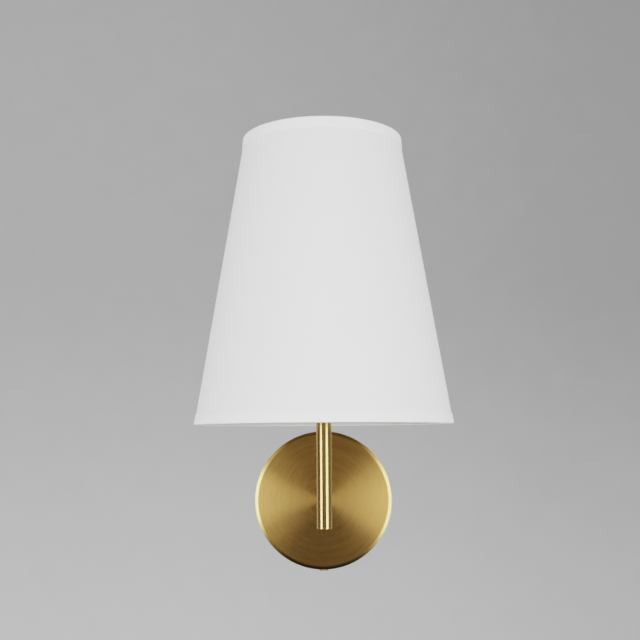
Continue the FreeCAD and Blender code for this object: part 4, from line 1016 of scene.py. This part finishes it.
@dataclass
class Backplate:
    """The spun brass pan on the wall and the two slotted screws through its rim."""

    radius: float = 0.060325
    setback: float = 0.008
    sunk: float = 0.00005
    head: RoundHead = RoundHead(0.0042, 0.0019, 0.0013, (0.0010, 0.0009))
    shank_tip: float = 0.0553
    shank: Shank = Shank(0.002, (0.0018, 0.0557), 0.0002, 0.0007, 0.0003, 0.0015, 32)

    def build(self) -> None:
        """Dresses the pan and makes its screws."""
        dress(Finishes.backplate, "backplate")
        screws = Workpiece("slotted_side_screws")
        seat = self.radius - self.sunk
        for hand in HANDS:
            line = Spindle((0.0, -self.setback, 0.0), (0.0, 0.0, hand), FRONT)
            screws.slotted_head(line, seat, self.head)
            screws.turned(line, self.shank.turning(self.shank_tip, seat))
        screws.done("fixture", "brass_screws", Finishes.screws, "backplate_screws")


@dataclass
class Wiring:
    """What the pan hides: crossbar, earth screw and tags, twist-on connectors, leads and the lock washer."""

    earth_height: float = 0.020
    earth_seat: float = 0.0028
    earth_shank: Shank = Shank(0.0024, (0.0020, 0.0005), 0.0001, 0.0008, 0.00035, 0.0018, 36)
    earth_washer: Pair = (0.0047, 0.0010)
    earth_washer_edge: float = 0.0003
    earth_flats: float = 0.007
    earth_head: float = 0.0032
    earth_slot: Pair = (0.0012, 0.0012)
    earth_head_edge: float = 0.00025
    overlap: float = 0.0001
    connector_side: float = 0.024
    connector_depth: float = 0.008
    connector_foot: float = -0.026
    connector: Turning = Turning(
        (
            (0.0, 0.0), (0.0032, 0.0), (0.005, 0.02 * 5.0 / 6.0), (0.005, 0.02), (0.0034, 0.02),
            (0.0030, 0.014), (0.0010, 0.013), (0.0, 0.013),
        ),
        84,
        {1: 0.00128, 3: 0.0008, 4: 0.0004},
        0.0008,
    )
    rib_ends: Pair = (0.0012, 0.0158)
    rib_fade: float = 0.0012
    rib_from: float = 0.0029
    rib_depth: float = 0.00042
    ribs: int = 14
    washer_radii: tuple[float, ...] = (0.0051, 0.0069, 0.0085)
    washer_faces: Pair = (0.0180, 0.0190)
    teeth: int = 14
    tooth_share: float = 0.6
    tooth_twist: float = 0.0006
    tooth_from: float = 0.0075
    gullet: float = 0.0072

    def build(self) -> None:
        """Dresses the kept nodes and makes the earth screw, the connectors and the lock washer."""
        dress(Finishes.zinc, "crossbar", "arm_nut")
        dress(Finishes.tag, "ground_tag", "bonding_tag")
        dress(Finishes.black_lead, "hot_lead")
        dress(Finishes.white_lead, "neutral_lead")
        dress(Finishes.green_lead, "ground_lead")
        self.earth_screw()
        self.connectors()
        self.lock_washer()

    def earth_screw(self) -> None:
        """Green hexagon screw with a washer face and a driver slot."""
        line = Spindle((0.0, 0.0, self.earth_height), FRONT, UP)
        way = Vector(line.way)
        washer_top = self.earth_seat + self.earth_washer[1]
        top = self.earth_seat + self.earth_head
        slot_half, slot_floor = self.earth_slot[0] / 2.0, top - self.earth_slot[1]
        washer = rod(self.earth_washer[0], self.earth_seat, washer_top)
        screw = Workpiece("slotted_earth_screw")
        screw.turned(line, self.earth_shank.turning(0.0, self.earth_seat))
        screw.turned(line, Turning(washer, 48, {2: self.earth_washer_edge}))
        corner = self.earth_flats / math.sqrt(3.0)
        bearings = [math.radians(60.0 * number) for number in range(6)]
        hexagon = [Vector((corner * math.sin(turn), 0.0, corner * math.cos(turn))) for turn in bearings]
        base = [point + line.at(0.0, washer_top - self.overlap) for point in hexagon]
        screw.block(base, way * (slot_floor - washer_top + self.overlap))
        for hand in HANDS:
            half = [point.copy() for point in hexagon if point.x * hand > -TOUCHING]
            for point in half:
                if abs(point.x) < TOUCHING:
                    point.x = hand * slot_half
            half.sort(key=lambda point: math.atan2(point.z, point.x * hand - slot_half))
            raised = [point + line.at(0.0, slot_floor) for point in half]
            screw.block(raised, way * (top - slot_floor), self.earth_head_edge)
        screw.done("fixture", "green_screw", Finishes.green, "ground_screw")

    def connectors(self) -> None:
        """Two ribbed twist-on connectors, mouth up."""
        both = Workpiece("ribbed_connectors")
        for hand in HANDS:
            foot = (hand * self.connector_side, -self.connector_depth, self.connector_foot)
            line = Spindle(foot, UP, FRONT)
            one = Workpiece("connector").turned(line, self.connector)
            both.add(one.bent(functools.partial(self._ribbed, line)).bm)
        both.done("fixture", "orange_connector", Finishes.connector, "wire_connectors")

    def _ribbed(self, line: Spindle, point: Vector) -> Vector:
        """Cuts the grip grooves between a connector's tip and collar.

        Args:
            line: the connector's axis.
            point: a point of its skin.

        Returns:
            The point's new place.
        """
        radius, bearing, along = line.polar(point)
        grip = fade(along, *self.rib_ends, self.rib_fade)
        if radius < self.rib_from or not grip:
            return point
        cut = self.rib_depth * grip * (0.5 + 0.5 * math.cos(bearing * self.ribs)) ** 2
        return line.drawn_in(point, along, (radius - cut) / radius)

    def lock_washer(self) -> None:
        """Star washer behind the pan's face, its teeth twisted."""
        back, front = self.washer_faces
        outline = [(radius, back) for radius in self.washer_radii]
        outline += [(radius, front) for radius in reversed(self.washer_radii)]
        washer = Workpiece("star_lock_washer").turned(ARM, Turning(tuple(outline), self.teeth * 6))
        washer.bent(self._toothed).done("fixture", "zinc_steel", Finishes.zinc, "arm_lock_washer")

    def _toothed(self, point: Vector) -> Vector:
        """Draws the washer's rim in between its teeth and tips each tooth.

        Args:
            point: a point of the washer.

        Returns:
            The point's new place.
        """
        radius, bearing, along = ARM.polar(point)
        if radius < self.tooth_from:
            return point
        turn = (bearing / FULL_TURN * self.teeth) % 1.0
        if turn > self.tooth_share:
            return ARM.drawn_in(point, along, self.gullet / radius)
        tip = Vector(ARM.way) * ((turn - self.tooth_share / 2.0) * self.tooth_twist)
        return ARM.drawn_in(point, along, 1.0) + tip


@dataclass
class StemAndArm:
    """The brass tubes, their turned ends and the brazed joint between them.

    The places of an end are those of its spigot's start, of the tube's mouth, of its shoulder and of its tip.
    """

    tube: float = 0.006
    spigot: float = 0.00495
    thread: float = 0.005
    core: float = 0.0046
    bore: float = 0.0035
    pitch: float = 0.001
    depth: float = 0.00055
    arm_end: tuple[float, ...] = (0.032, 0.022, 0.020, 0.012)
    stem_end: tuple[float, ...] = (0.078, 0.088, 0.090, 0.098)
    bead: float = 0.00032

    def build(self) -> None:
        """Dresses the tubes and makes what joins them."""
        dress(Finishes.stem, "stem")
        dress(Finishes.arm, "arm")
        dress(Finishes.plug, "stem_end_plug", "holder_seat_washer")
        self.end("arm_thread", ARM, self.arm_end, "arm_threaded_end")
        self.end("stem_thread", STEM, self.stem_end, "stem_threaded_end")
        self.brazing()

    def end(self, name: str, line: Spindle, places: tuple[float, ...], node: str) -> None:
        """A turned end with its thread.

        Args:
            name: name of the piece.
            line: its axis.
            places: its places along the axis.
            node: node that it stands for.
        """
        start, mouth, shoulder, tip = places
        outline = (
            (self.bore, start), (self.spigot, start), (self.spigot, mouth), (self.tube, mouth),
            (self.tube, shoulder), (self.thread, shoulder), (self.thread, tip), (self.bore, tip),
        )
        thread = Thread(self.pitch, self.depth, *sorted((shoulder, tip)), self.core)
        turning = Turning(outline, 60, {3: 0.0002, 4: 0.0002, 6: 0.0003}, self.pitch / 8.0, thread)
        Workpiece(name).turned(line, turning).done("fixture", "turned_brass", Finishes.threads, node)

    def brazing(self) -> None:
        """The thin fillet of brazing where the arm is coped round the stem."""
        radius = self.tube + self.bead * 0.4
        circle = bmesh.new()
        bmesh.ops.create_circle(circle, cap_ends=False, segments=96, radius=radius)
        path = [vert.co.copy() for vert in circle.verts]
        circle.free()
        curve = bpy.data.curves.new("brazing_line", "CURVE")
        curve.dimensions = "3D"
        curve.bevel_depth = self.bead
        curve.bevel_resolution = 3
        spline = curve.splines.new("POLY")
        spline.points.add(len(path) - 1)
        spline.use_cyclic_u = True
        for point, flat in zip(spline.points, path):
            depth = math.sqrt(max(0.0, radius**2 - flat.x**2))
            point.co = (flat.x, STEM_FOOT[1] + depth, flat.y, 1.0)
        line = bpy.data.objects.new("brazing_line", curve)
        mesh = bpy.data.meshes.new_from_object(line)
        bpy.data.objects.remove(line)
        fillet = Workpiece("brazed_joint")
        fillet.bm.from_mesh(mesh)
        bpy.data.meshes.remove(mesh)
        fillet.done("fixture", "satin_brass", Finishes.braze)


@dataclass
class Lampholder:
    """Cap, threaded skirt, insulating core, screw shell and contacts."""

    skirt: Turning = Turning(
        (
            (0.01675, 0.1162), (0.0235, 0.1162), (0.0235, 0.1187), (0.0195, 0.1187), (0.0195, 0.1487),
            (0.01475, 0.1487), (0.01475, 0.1467), (0.01595, 0.1467), (0.01595, 0.1192), (0.01675, 0.1192),
        ),
        120,
        {1: 0.0004, 2: 0.0004, 4: 0.0006, 5: 0.0004},
        0.0028 / 10.0,
        Thread(0.0028, 0.0008, 0.1195, 0.1478, 0.0186, 0.8),
    )
    shell: Turning = Turning(
        (
            (0.0081, 0.1192), (0.0137, 0.1192), (0.0137, 0.1432), (0.0133, 0.1432), (0.0133, 0.1196),
            (0.0081, 0.1196),
        ),
        96,
        {1: 0.0006, 4: 0.0004},
        LAMP_PITCH / 10.0,
        Thread(LAMP_PITCH, -LAMP_DEPTH, 0.1215, 0.1424, 0.0131),
    )
    terminal_side: float = 0.009
    terminal_height: float = 0.1092
    screw_seat: float = 0.0035
    screw_tip: float = 0.00095
    screw_head: RoundHead = RoundHead(0.0021, 0.0014, 0.0006, (0.0006, 0.0007))
    screw_shank: Shank = Shank(0.0012, (0.0011, 0.0012), 0.0001, 0.00045, 0.0002, 0.0009, 30, 0.00007)

    def build(self) -> None:
        """Dresses the kept nodes and makes the threaded ones."""
        dress(Finishes.holder, "holder_cap")
        dress(Finishes.zinc, "holder_nut")
        dress(Finishes.porcelain, "holder_core")
        dress(Finishes.contact, "terminals", "centre_contact")
        skirt = Workpiece("threaded_skirt").turned(STEM, self.skirt)
        skirt.done("fixture", "black_holder", Finishes.holder, "holder_skirt")
        shell = Workpiece("rolled_screw_shell").turned(STEM, self.shell)
        shell.done("fixture", "nickel_brass", Finishes.shell, "screw_shell")
        screws = Workpiece("slotted_terminal_screws")
        for hand in HANDS:
            origin = (hand * self.terminal_side, STEM_FOOT[1], self.terminal_height)
            line = Spindle(origin, (0.0, -hand, 0.0), UP)
            screws.slotted_head(line, self.screw_seat, self.screw_head)
            screws.turned(line, self.screw_shank.turning(self.screw_tip, self.screw_seat))
        screws.done("fixture", "nickel_brass", Finishes.shell, "terminal_screws")


@dataclass
class ShadeCarrier:
    """Ring nut, fitter ring, its three spokes, their welds and the two rim rings.

    A weld's fields are its distance from the stem's axis, its height and its half sizes.
    """

    spokes: int = 3
    first_spoke: float = 90.0
    beside_spoke: float = 0.00125 * 0.95
    ring_weld: tuple[float, float, Place] = (0.0262, 0.1187 - 0.0004, (0.0024, 0.0007, 0.0005))
    rim_weld: tuple[float, float, Place] = (0.09866 - 0.0013, 0.0668 + 0.0008, (0.0012, 0.0019, 0.0010))

    def build(self) -> None:
        """Dresses the kept nodes and makes the welds."""
        dress(Finishes.ring_nut, "shade_ring")
        dress(Finishes.wirework, "fitter_ring", "fitter_spokes", "bottom_wire_ring", "top_wire_ring")
        welds = Workpiece("spoke_welds")
        for number in range(self.spokes):
            bearing = math.radians(self.first_spoke + 360.0 * number / self.spokes)
            out = Vector((math.cos(bearing), math.sin(bearing), 0.0))
            side = Vector((-out.y, out.x, 0.0))
            spots = [(self.ring_weld, hand * self.beside_spoke, number + hand) for hand in HANDS]
            for (reach, height, size), shift, seed in (*spots, (self.rim_weld, 0.0, 2.0 * number)):
                centre = Vector(STEM_FOOT) + out * reach + side * shift
                centre.z = height
                welds.bead(centre, size, bearing, seed)
        welds.done("shade", "white_wirework", Finishes.wirework)


@dataclass(frozen=True)
class Overlap:
    """A strip of cloth laid over the back of the shade.

    Its fields are its lower and upper end, how proud of the cloth it lies at each, its width, how far its
    upper end is shifted sideways, its thickness, and its divisions across and up.
    """

    ends: Pair
    proud: Pair
    width: float
    shift: float
    thick: float
    divisions: tuple[int, int]


@dataclass
class ShadeCover:
    """Cloth, lining, overlap seam and the two rolled hems."""

    rim_low: float = 0.065
    rim_high: float = 0.295
    low_radius: float = 0.1013
    high_radius: float = 0.0632
    cloth: float = 0.00045
    lining: float = 0.00045
    glue: float = 0.00005
    layers: float = 0.00095
    wire: float = 0.0025
    hem: float = 0.0005
    hem_height: float = 0.0085
    pressed: float = 0.0012
    pressed_edge: float = 0.00018
    low_edge: float = 0.1018
    low_lip: Pair = (0.09736, 0.06618)
    high_edge: float = 0.0644
    turned_in: float = 0.0045
    seam_width: float = 0.010
    seam_thick: float = 0.00042
    seam_gap: float = 0.0002
    joint_width: float = 0.012
    joint_shift: float = 0.002
    joint_thick: float = 0.0003
    joint_inset: float = 0.0011
    low_proud: Pair = (0.0006, 0.00055)
    high_proud: Pair = (0.00055, 0.0012)
    around: int = 256
    layer_rows: float = 0.012
    hem_rows: float = 0.0011

    @property
    def slope(self) -> float:
        """How much the radius changes with height."""
        return (self.high_radius - self.low_radius) / (self.rim_high - self.rim_low)

    @property
    def sine(self) -> float:
        """Sine of half the angle of the cone that the shade is cut from."""
        return -self.slope / math.hypot(1.0, self.slope)

    def radius(self, height: float) -> float:
        """Outer radius of the cloth at a height."""
        return self.low_radius + self.slope * (height - self.rim_low)

    def glued(self, height: float) -> float:
        """Radius at a height of what is glued round the cloth."""
        return self.radius(height) + self.glue

    def flat_place(self, _: float, bearing: float, height: float) -> Pair:
        """Place on the flat sector that the cone unrolls to."""
        from_apex = self.radius(height) / self.sine
        return from_apex * math.sin(bearing * self.sine), -from_apex * math.cos(bearing * self.sine)

    def strip_place(self, radius: float, bearing: float, height: float) -> Pair:
        """Place on a hem's flat strip."""
        return bearing * self.radius(height), height - radius

    def layer(self, name: str, inset: float, thick: float) -> Workpiece:
        """One tapered layer of the shade.

        Args:
            name: name of the piece.
            inset: its outer face behind the cloth's.
            thick: its thickness.

        Returns:
            The unfinished piece.
        """
        heights = (self.rim_low + self.hem + self.glue, self.rim_high - self.hem - self.glue)
        outer = [(self.radius(height) - inset, height) for height in heights]
        inner = [(radius - thick, height) for radius, height in reversed(outer)]
        piece = Workpiece(name).turned(STEM, Turning((*outer, *inner), self.around, rows=self.layer_rows))
        return piece.mapped(self.flat_place)

    def laid(self, strip: Overlap) -> Mesh:
        """Lays a strip of cloth over the back and gives it its thickness.

        Args:
            strip: the strip.

        Returns:
            Its mesh.
        """
        low, high = strip.ends
        bm = bmesh.new()
        bmesh.ops.create_grid(bm, x_segments=strip.divisions[0], y_segments=strip.divisions[1], size=0.5)
        for vert in bm.verts:
            share = vert.co.y + 0.5
            height = low + share * (high - low)
            radius = self.radius(height) + strip.proud[0] + (strip.proud[1] - strip.proud[0]) * share
            bearing = (vert.co.x * strip.width + share * strip.shift) / radius
            vert.co = (radius * math.sin(bearing), STEM_FOOT[1] + radius * math.cos(bearing), height)
        bmesh.ops.recalc_face_normals(bm, faces=bm.faces)
        if sum(face.normal.y for face in bm.faces) < 0.0:
            bmesh.ops.reverse_faces(bm, faces=bm.faces)
        bmesh.ops.solidify(bm, geom=list(bm.faces), thickness=-strip.thick)
        bmesh.ops.recalc_face_normals(bm, faces=bm.faces)
        return bm

    def seam(self) -> bpy.types.Object:
        """Makes the strip of cloth that overlaps at the back.

        Returns:
            The piece.
        """
        inset = self.hem_height + self.seam_gap
        ends = (self.rim_low + inset, self.rim_high - inset)
        strip = Overlap(ends, (self.glue, self.glue), self.seam_width, 0.0, self.seam_thick, (10, 40))
        seam = Workpiece("overlap_seam").add(self.laid(strip)).mapped(self.flat_place)
        return seam.done("shade", "white_cloth", Finishes.cloth, "back_seam")

    def hem_joints(self) -> bpy.types.Object:
        """Makes what shows where the ends of each hem strip overlap at the back.

        Returns:
            The piece.
        """
        flat, sizes = self.hem_height - self.pressed, (self.joint_width, self.joint_shift, self.joint_thick)
        low = ((self.rim_low + self.joint_inset, self.rim_low + flat), self.low_proud)
        high = ((self.rim_high - flat, self.rim_high - self.joint_inset), self.high_proud)
        joints = Workpiece("hem_joints")
        for ends, proud in (low, high):
            joints.add(self.laid(Overlap(ends, proud, *sizes, (8, 8))))
        return joints.mapped(self.strip_place).done("shade", "hem_cloth", Finishes.hem)

    def bottom_hem(self) -> bpy.types.Object:
        """Makes the folded strip round the lower rim.

        Returns:
            The piece.
        """
        top = self.rim_low + self.hem_height
        trough = self.rim_low + self.hem
        lip, lip_top = self.low_lip
        outline = (
            (self.glued(top - self.pressed) + self.hem, top - self.pressed),
            (self.glued(top) + self.pressed_edge, top), (self.glued(top), top), (self.glued(trough), trough),
            (lip, trough), (lip, lip_top), (lip - self.hem, lip_top), (lip - self.hem, self.rim_low),
            (self.low_edge + self.glue, self.rim_low),
        )
        rounds = {0: 0.001, 4: 0.0006, 7: 0.0009, 8: 0.0009}
        return self.rolled_hem("lower_hem", outline, rounds, (top, 0.4), "bottom_hem")

    def top_hem(self) -> bpy.types.Object:
        """Makes the folded strip round the upper rim, proud of the cloth.

        Returns:
            The piece.
        """
        foot = self.rim_high - self.hem_height
        ridge = self.rim_high - self.hem
        turn_in = self.rim_high - self.turned_in
        lip = self.radius(ridge - self.glue) - self.layers - self.glue - self.wire - self.glue
        outline = (
            (self.glued(foot), foot), (self.glued(foot) + self.pressed_edge, foot),
            (self.glued(foot + self.pressed) + self.hem, foot + self.pressed),
            (self.high_edge, self.rim_high), (lip - self.hem, self.rim_high), (lip - self.hem, turn_in),
            (lip, turn_in), (lip, ridge), (self.glued(ridge), ridge),
        )
        rounds = {2: 0.001, 3: 0.0009, 4: 0.0009, 7: 0.0006}
        return self.rolled_hem("upper_hem", outline, rounds, (foot, 1.7), "top_hem")

    def rolled_hem(
        self, name: str, outline: Outline, rounds: dict[int, float], edge: Pair, node: str
    ) -> bpy.types.Object:
        """Turns a hem and lets its glued edge wander a little, as a hand-rolled one does.

        Args:
            name: name of the piece.
            outline: (radius, height) of its corners, in order.
            rounds: radius of its rounded corners, by their place in the outline.
            edge: height of its glued edge, and a number that shifts the edge's wander.
            node: node that it stands for.

        Returns:
            The piece.
        """
        hem = Workpiece(name).turned(STEM, Turning(outline, self.around, rounds, self.hem_rows))
        hem.bent(functools.partial(self._wandering, *edge)).mapped(self.strip_place)
        return hem.done("shade", "hem_cloth", Finishes.hem, node)

    @staticmethod
    def _wandering(edge: float, seed: float, point: Vector) -> Vector:
        """Moves a point of a hem up or down, the nearer its edge the further.

        Args:
            edge: height of the edge.
            seed: shifts the wander.
            point: the point.

        Returns:
            The point's new place.
        """
        _, bearing, height = STEM.polar(point)
        near = max(0.0, 1.0 - abs(height - edge) / 0.003)
        wander = 0.00010 * math.sin(bearing * 9.0 + seed) + 0.00006 * math.sin(bearing * 23.0 + 2.0 * seed)
        return point + Vector((0.0, 0.0, wander * near))

    def build(self) -> None:
        lining = self.layer("stiff_lining", self.cloth + self.glue, self.lining)
        lining.done("shade", "white_liner", Finishes.lining, "shade_liner")
        cloth = self.layer("shade_cloth", 0.0, self.cloth)
        cloth = cloth.done("shade", "white_cloth", Finishes.cloth, "shade_fabric")
        trims = [self.seam(), self.bottom_hem(), self.top_hem(), self.hem_joints()]


@dataclass
class Bulb:
    """Candle bulb with its screw cap."""

    cap: Turning = Turning(
        (
            (0.0093, 0.1286), (0.0098, 0.1286), (0.0132, 0.1326), (0.0132, 0.1486), (0.0129, 0.1489),
            (0.0129, 0.1526), (0.01215, 0.1526), (0.01215, 0.1455), (0.0116, 0.1455), (0.0116, 0.1324),
            (0.0093, 0.1292),
        ),
        96,
        {2: 0.0008, 5: 0.0003},
        LAMP_PITCH / 10.0,
        Thread(LAMP_PITCH, LAMP_DEPTH, 0.1322, 0.1486, 0.0127),
    )

    def build(self) -> None:
        """Dresses the kept nodes and makes the cap."""
        dress(Finishes.glass, "bulb_glass")
        dress(Finishes.vitrite, "bulb_insulator")
        dress(Finishes.solder, "bulb_contact")
        cap = Workpiece("rolled_bulb_cap").turned(STEM, self.cap)
        cap.done("bulb", "bulb_aluminium", Finishes.cap, "bulb_cap")


# Studio


@dataclass(frozen=True)
class Softbox:
    """A soft light: bearing and distance from the object, height, size and power.

    One that is not mirrored fills the matt surfaces only.
    """

    name: str
    bearing: float
    distance: float
    height: float
    width: float
    tall: float
    power: float
    mirrored: bool = True

    def hang(self, target: Vector) -> None:
        """Hangs it, facing the object.

        Args:
            target: the middle of the object.
        """
        light = bpy.data.lights.new(self.name, "AREA")
        light.shape = "RECTANGLE"
        light.size, light.size_y = self.width, self.tall
        light.energy = self.power
        lamp = bpy.data.objects.new(self.name, light)
        bearing = math.radians(self.bearing)
        place = target + Vector((math.sin(bearing), -math.cos(bearing), 0.0)) * self.distance
        place.z = self.height
        lamp.location = place
        aim = Vector((target.x, target.y, self.height if self.mirrored else target.z)) - place
        lamp.rotation_mode = "QUATERNION"
        lamp.rotation_quaternion = aim.to_track_quat("-Z", "Y")
        lamp.visible_camera = False
        lamp.visible_glossy = self.mirrored
        bpy.context.scene.collection.objects.link(lamp)


@dataclass
class Studio:
    """Pale floor that sweeps up far behind the light, soft lights and the camera."""

    floor: float = -1.60
    sweep_start: float = 1.6
    sweep_radius: float = 1.0
    sweep_top: float = 3.2
    half_width: float = 9.0
    front: float = -9.0
    target: Place = (0.0, -0.10, 0.14)
    camera_place: Place = (-0.0060, -0.8942, 0.0543)
    tilt: float = 6.90
    pan: float = -0.215
    roll: float = 0.36
    lens: float = 54.9
    ambient: float = 0.56
    mirrored_world: float = 0.03
    seen_world: float = 0.42
    softboxes: tuple[Softbox, ...] = (
        Softbox("left_softbox", -45.0, 1.7, -0.05, 0.70, 1.08, 11.0),
        Softbox("right_softbox", 43.0, 1.7, -0.11, 0.85, 1.42, 15.6),
        Softbox("front_card", 0.0, 2.2, 0.05, 1.20, 0.60, 0.38),
        Softbox("left_card", -80.0, 1.6, 0.0, 0.90, 1.40, 0.40),
        Softbox("right_card", 80.0, 1.6, 0.0, 0.90, 1.40, 0.62),
        Softbox("left_fill", -105.0, 1.5, 0.10, 0.90, 0.30, 7.6, False),
        Softbox("right_fill", 105.0, 1.5, 0.10, 0.90, 0.30, 7.4, False),
        Softbox("front_fill", 0.0, 0.95, 0.09, 1.20, 0.24, 8.9, False),
    )

    def build(self) -> None:
        """Sets up tones, floor, world, lights and camera."""
        tones = bpy.context.scene.view_settings
        tones.view_transform = "Filmic"
        tones.look = "Medium High Contrast"
        self.lay_floor()
        self.light_world()
        for softbox in self.softboxes:
            softbox.hang(Vector(self.target))
        self.place_camera()

    def lay_floor(self) -> None:
        """The flat floor, and the backdrop that sweeps up from it."""
        floor = bmesh.new()
        self._push(floor, [self._line(floor, self.front)], Vector((0.0, self.sweep_start - self.front, 0.0)))
        self._stage("floor", floor, mirrored=False)
        backdrop = bmesh.new()
        self._line(backdrop, self.sweep_start)
        centre = (0.0, self.sweep_start, self.floor + self.sweep_radius)
        end = spin(backdrop, centre, (1.0, 0.0, 0.0), math.pi / 2.0, 24, closed=False)
        rise = Vector((0.0, 0.0, self.sweep_top - self.floor - self.sweep_radius))
        self._push(backdrop, only(end, bmesh.types.BMEdge), rise)
        self._stage("backdrop", backdrop, mirrored=True)

    def _line(self, bm: Mesh, depth: float) -> bmesh.types.BMEdge:
        """A line across the floor at a depth."""
        sides = (-self.half_width, self.half_width)
        return bm.edges.new([bm.verts.new((side, depth, self.floor)) for side in sides])

    @staticmethod
    def _push(bm: Mesh, edges: list, way: Vector) -> None:
        """Extrudes edges of a mesh along a way."""
        made = bmesh.ops.extrude_edge_only(bm, edges=edges)["geom"]
        bmesh.ops.translate(bm, verts=only(made, bmesh.types.BMVert), vec=way)

    @staticmethod
    def _stage(name: str, bm: Mesh, mirrored: bool) -> None:
        """Makes a painted sheet of the studio.

        Args:
            name: its name.
            bm: its mesh.
            mirrored: whether metal shows it.
        """
        bmesh.ops.recalc_face_normals(bm, faces=bm.faces)
        sheet = dressed_object(name, bm, Finishes.floor)
        sheet.visible_glossy = mirrored

    def light_world(self) -> None:
        """Even surroundings: a tone for matt surfaces, a darker one in reflections, one behind everything."""
        world = bpy.data.worlds.new("surroundings")
        bpy.context.scene.world = world
        graph = Graph(world)
        tone = graph.background(self.ambient)
        for ray, strength in (("Is Glossy Ray", self.mirrored_world), ("Is Camera Ray", self.seen_world)):
            tone = graph.mixed(tone, graph.background(strength), graph.node("LightPath", output=ray))
        graph.end(tone, "World")

    def place_camera(self) -> None:
        """The photograph's own view."""
        data = bpy.data.cameras.new("camera")
        data.sensor_width = 36.0
        data.lens = self.lens
        data.clip_start = 0.01
        camera = bpy.data.objects.new("camera", data)
        camera.location = self.camera_place
        camera.rotation_euler = [math.radians(turn) for turn in (90.0 + self.tilt, self.roll, self.pan)]
        bpy.context.scene.collection.objects.link(camera)
        bpy.context.scene.camera = camera


def main() -> None:
    """Builds the studio and every sub-assembly in order."""
    logging.basicConfig(level=logging.INFO, format="%(name)s: %(message)s")
    for kind in (Studio, Backplate, Wiring, StemAndArm, Lampholder, ShadeCarrier, ShadeCover, Bulb):
        LOG.info("building %s", kind.__name__)
        kind().build()


if __name__ == "__main__":
    main()
